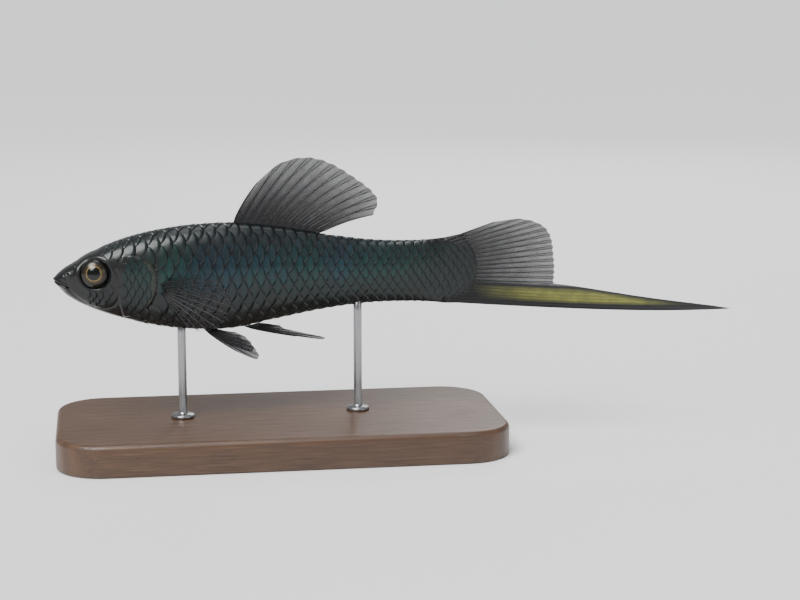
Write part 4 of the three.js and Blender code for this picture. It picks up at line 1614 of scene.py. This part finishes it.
# %% Finishes of the stand
def walnut():
    """Oiled walnut with its grain along the base."""
    material, tree, shader = start_material("walnut")
    place = add(tree, "ShaderNodeTexCoord").outputs["Object"]
    turned = get(tree, "ShaderNodeMapping", Vector=place, Scale=(1.0, 10.0, 14.0), Rotation=(0.1, 0.06, 0.03))
    shape = {"wave_type": "BANDS", "bands_direction": "Y"}
    how = {"Scale": 11.0, "Distortion": 3.0, "Detail": 4.0, "Detail_Scale": 0.8}
    rings = add(tree, "ShaderNodeTexWave", shape, Vector=turned, **how)
    fibre = noise(tree, 260, 5, 0.7, (0.5, 16, 16))
    cloud = noise(tree, 28, 3, 0.5, (0.5, 2.2, 2.2))
    bands = maths(tree, "MULTIPLY", rings.outputs["Fac"], 0.13)
    figure = maths(tree, "ADD", bands, maths(tree, "MULTIPLY", fibre, 0.87))
    colour = ramp(
        tree,
        figure,
        (0.25, (0.03, 0.014, 0.007)),
        (0.5, (0.07, 0.034, 0.016)),
        (0.75, (0.125, 0.066, 0.031)),
    )
    colour = mix_colour(tree, level_ramp(tree, cloud, 0.0, 0.4, 0.35, 0.7), colour, (0.045, 0.02, 0.01))
    pores = level_ramp(tree, fibre, 0.0, 1.0, 0.3, 0.46)
    set_shader(tree, shader, Base_Color=colour, Normal=bump(tree, pores, 0.06 * MM, 0.5))
    set_shader(tree, shader, Roughness=level_ramp(tree, fibre, 0.48, 0.34, 0.3, 0.7))
    set_shader(tree, shader, Coat_Weight=0.12, Coat_Roughness=0.3)
    return material


def brushed_steel():
    """Steel drawn lengthwise, with fine lines along the rod."""
    material, tree, shader = start_material("brushed_steel")
    lines = noise(tree, 900, 3, 0.6, (6, 6, 0.15))
    colour = ramp(tree, lines, (0.3, (0.24, 0.24, 0.25)), (0.7, (0.38, 0.38, 0.39)))
    set_shader(tree, shader, Base_Color=colour, Roughness=level_ramp(tree, lines, 0.22, 0.38, 0.3, 0.7))
    set_shader(tree, shader, Metallic=1.0, Normal=bump(tree, lines, 0.01 * MM, 0.5))
    return material


base.data.materials.append(walnut())
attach(base, BODY)
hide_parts("stand_base")
steel = brushed_steel()
for node, rod in rods.items():
    rod.data.materials.append(steel)
    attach(rod, BODY)
    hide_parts(node)
print("rods on the stand", len(rods))

# %% [markdown]
# Camera. It looks at the fish's left side, a little round towards the snout and from a little above.
# A long lens keeps the fish's shape true, and the whole model with its stand is in the frame.

# %% Camera
IMAGE_WIDTH, IMAGE_HEIGHT = 800, 600
AZIMUTH, ELEVATION = math.radians(-9), math.radians(10)
LENS = 85.0
SENSOR = 36.0
FRAME_MARGIN = 1.17


def aim(target, at):
    """Turns an object so that its -Z axis points at a place."""
    way = Vector(at) - target.location
    target.rotation_euler = way.to_track_quat("-Z", "Y").to_euler()


def make_camera():
    """A long lens turned to the middle of the model, far enough away to take it all in."""
    middle = (CAD_LOW + CAD_HIGH) / 2
    data = bpy.data.cameras.new("camera")
    data.lens = LENS
    data.sensor_width = SENSOR
    camera = in_scene("camera", data)
    away = (CAD_HIGH.x - CAD_LOW.x) * FRAME_MARGIN * LENS / SENSOR
    level = math.cos(ELEVATION)
    way = (math.sin(AZIMUTH) * level, -math.cos(AZIMUTH) * level, math.sin(ELEVATION))
    camera.location = [middle[k] + way[k] * away for k in range(3)]
    aim(camera, middle)
    data.clip_start, data.clip_end = 0.01, 20
    bpy.context.scene.camera = camera
    return camera


camera = make_camera()
print("camera at", [round(value, 3) for value in camera.location], "for", IMAGE_WIDTH, "by", IMAGE_HEIGHT)

# %% [markdown]
# Light. A wide soft sun and a pale sky light the table, however far off, and keep the backdrop pale.
# Four square lights near the fish bring out its scales, its gloss and the edges of the fins.

# %% Light and floor
def soft_box(name, place, size, power, colour=(1, 1, 1)):
    """A square area light turned to the fish."""
    data = bpy.data.lights.new(name, "AREA")
    data.shape = "SQUARE"
    data.size = size
    data.energy = power
    data.color = colour
    box = in_scene(name, data)
    box.location = place
    aim(box, (0.01, 0, AXIS_HEIGHT))


soft_box("key_light", (-0.28, -0.42, 0.42), 0.2, 1.1, (1, 0.985, 0.96))
soft_box("fill_light", (0.42, -0.4, 0.2), 0.24, 0.3, (0.95, 0.98, 1))
soft_box("top_light", (0.02, 0.1, 0.6), 0.26, 0.7)
soft_box("back_light", (0.2, 0.5, 0.3), 0.2, 0.6)


def far_light():
    """A wide soft sun, which lights the whole table alike, however far off."""
    data = bpy.data.lights.new("far_light", "SUN")
    data.energy = 4.4
    data.angle = math.radians(35)
    sun = in_scene("far_light", data)
    sun.location = (-0.4, -0.5, 1.0)
    aim(sun, (0, 0, 0))


def plain_world():
    """Even pale light from all round."""
    world = bpy.data.worlds.new("studio")
    world.use_nodes = True
    sky = world.node_tree.nodes["Background"]
    sky.inputs["Color"].default_value = (0.96, 0.98, 1.0, 1)
    sky.inputs["Strength"].default_value = 0.4
    bpy.context.scene.world = world


def plain_floor():
    """A pale table top, so wide that its edge is past the top of the picture."""
    half = 30.0
    corners = [(-half, -half, 0), (half, -half, 0), (half, half, 0), (-half, half, 0)]
    floor = new_object("floor", corners, [[0, 1, 2, 3]])
    material, tree, shader = start_material("pale_table")
    tone = ramp(tree, noise(tree, 4, 3), (0.3, (0.79, 0.795, 0.8)), (0.7, (0.81, 0.81, 0.81)))
    set_shader(tree, shader, Base_Color=tone, Roughness=0.7)
    floor.data.materials.append(material)


far_light()
plain_world()
plain_floor()
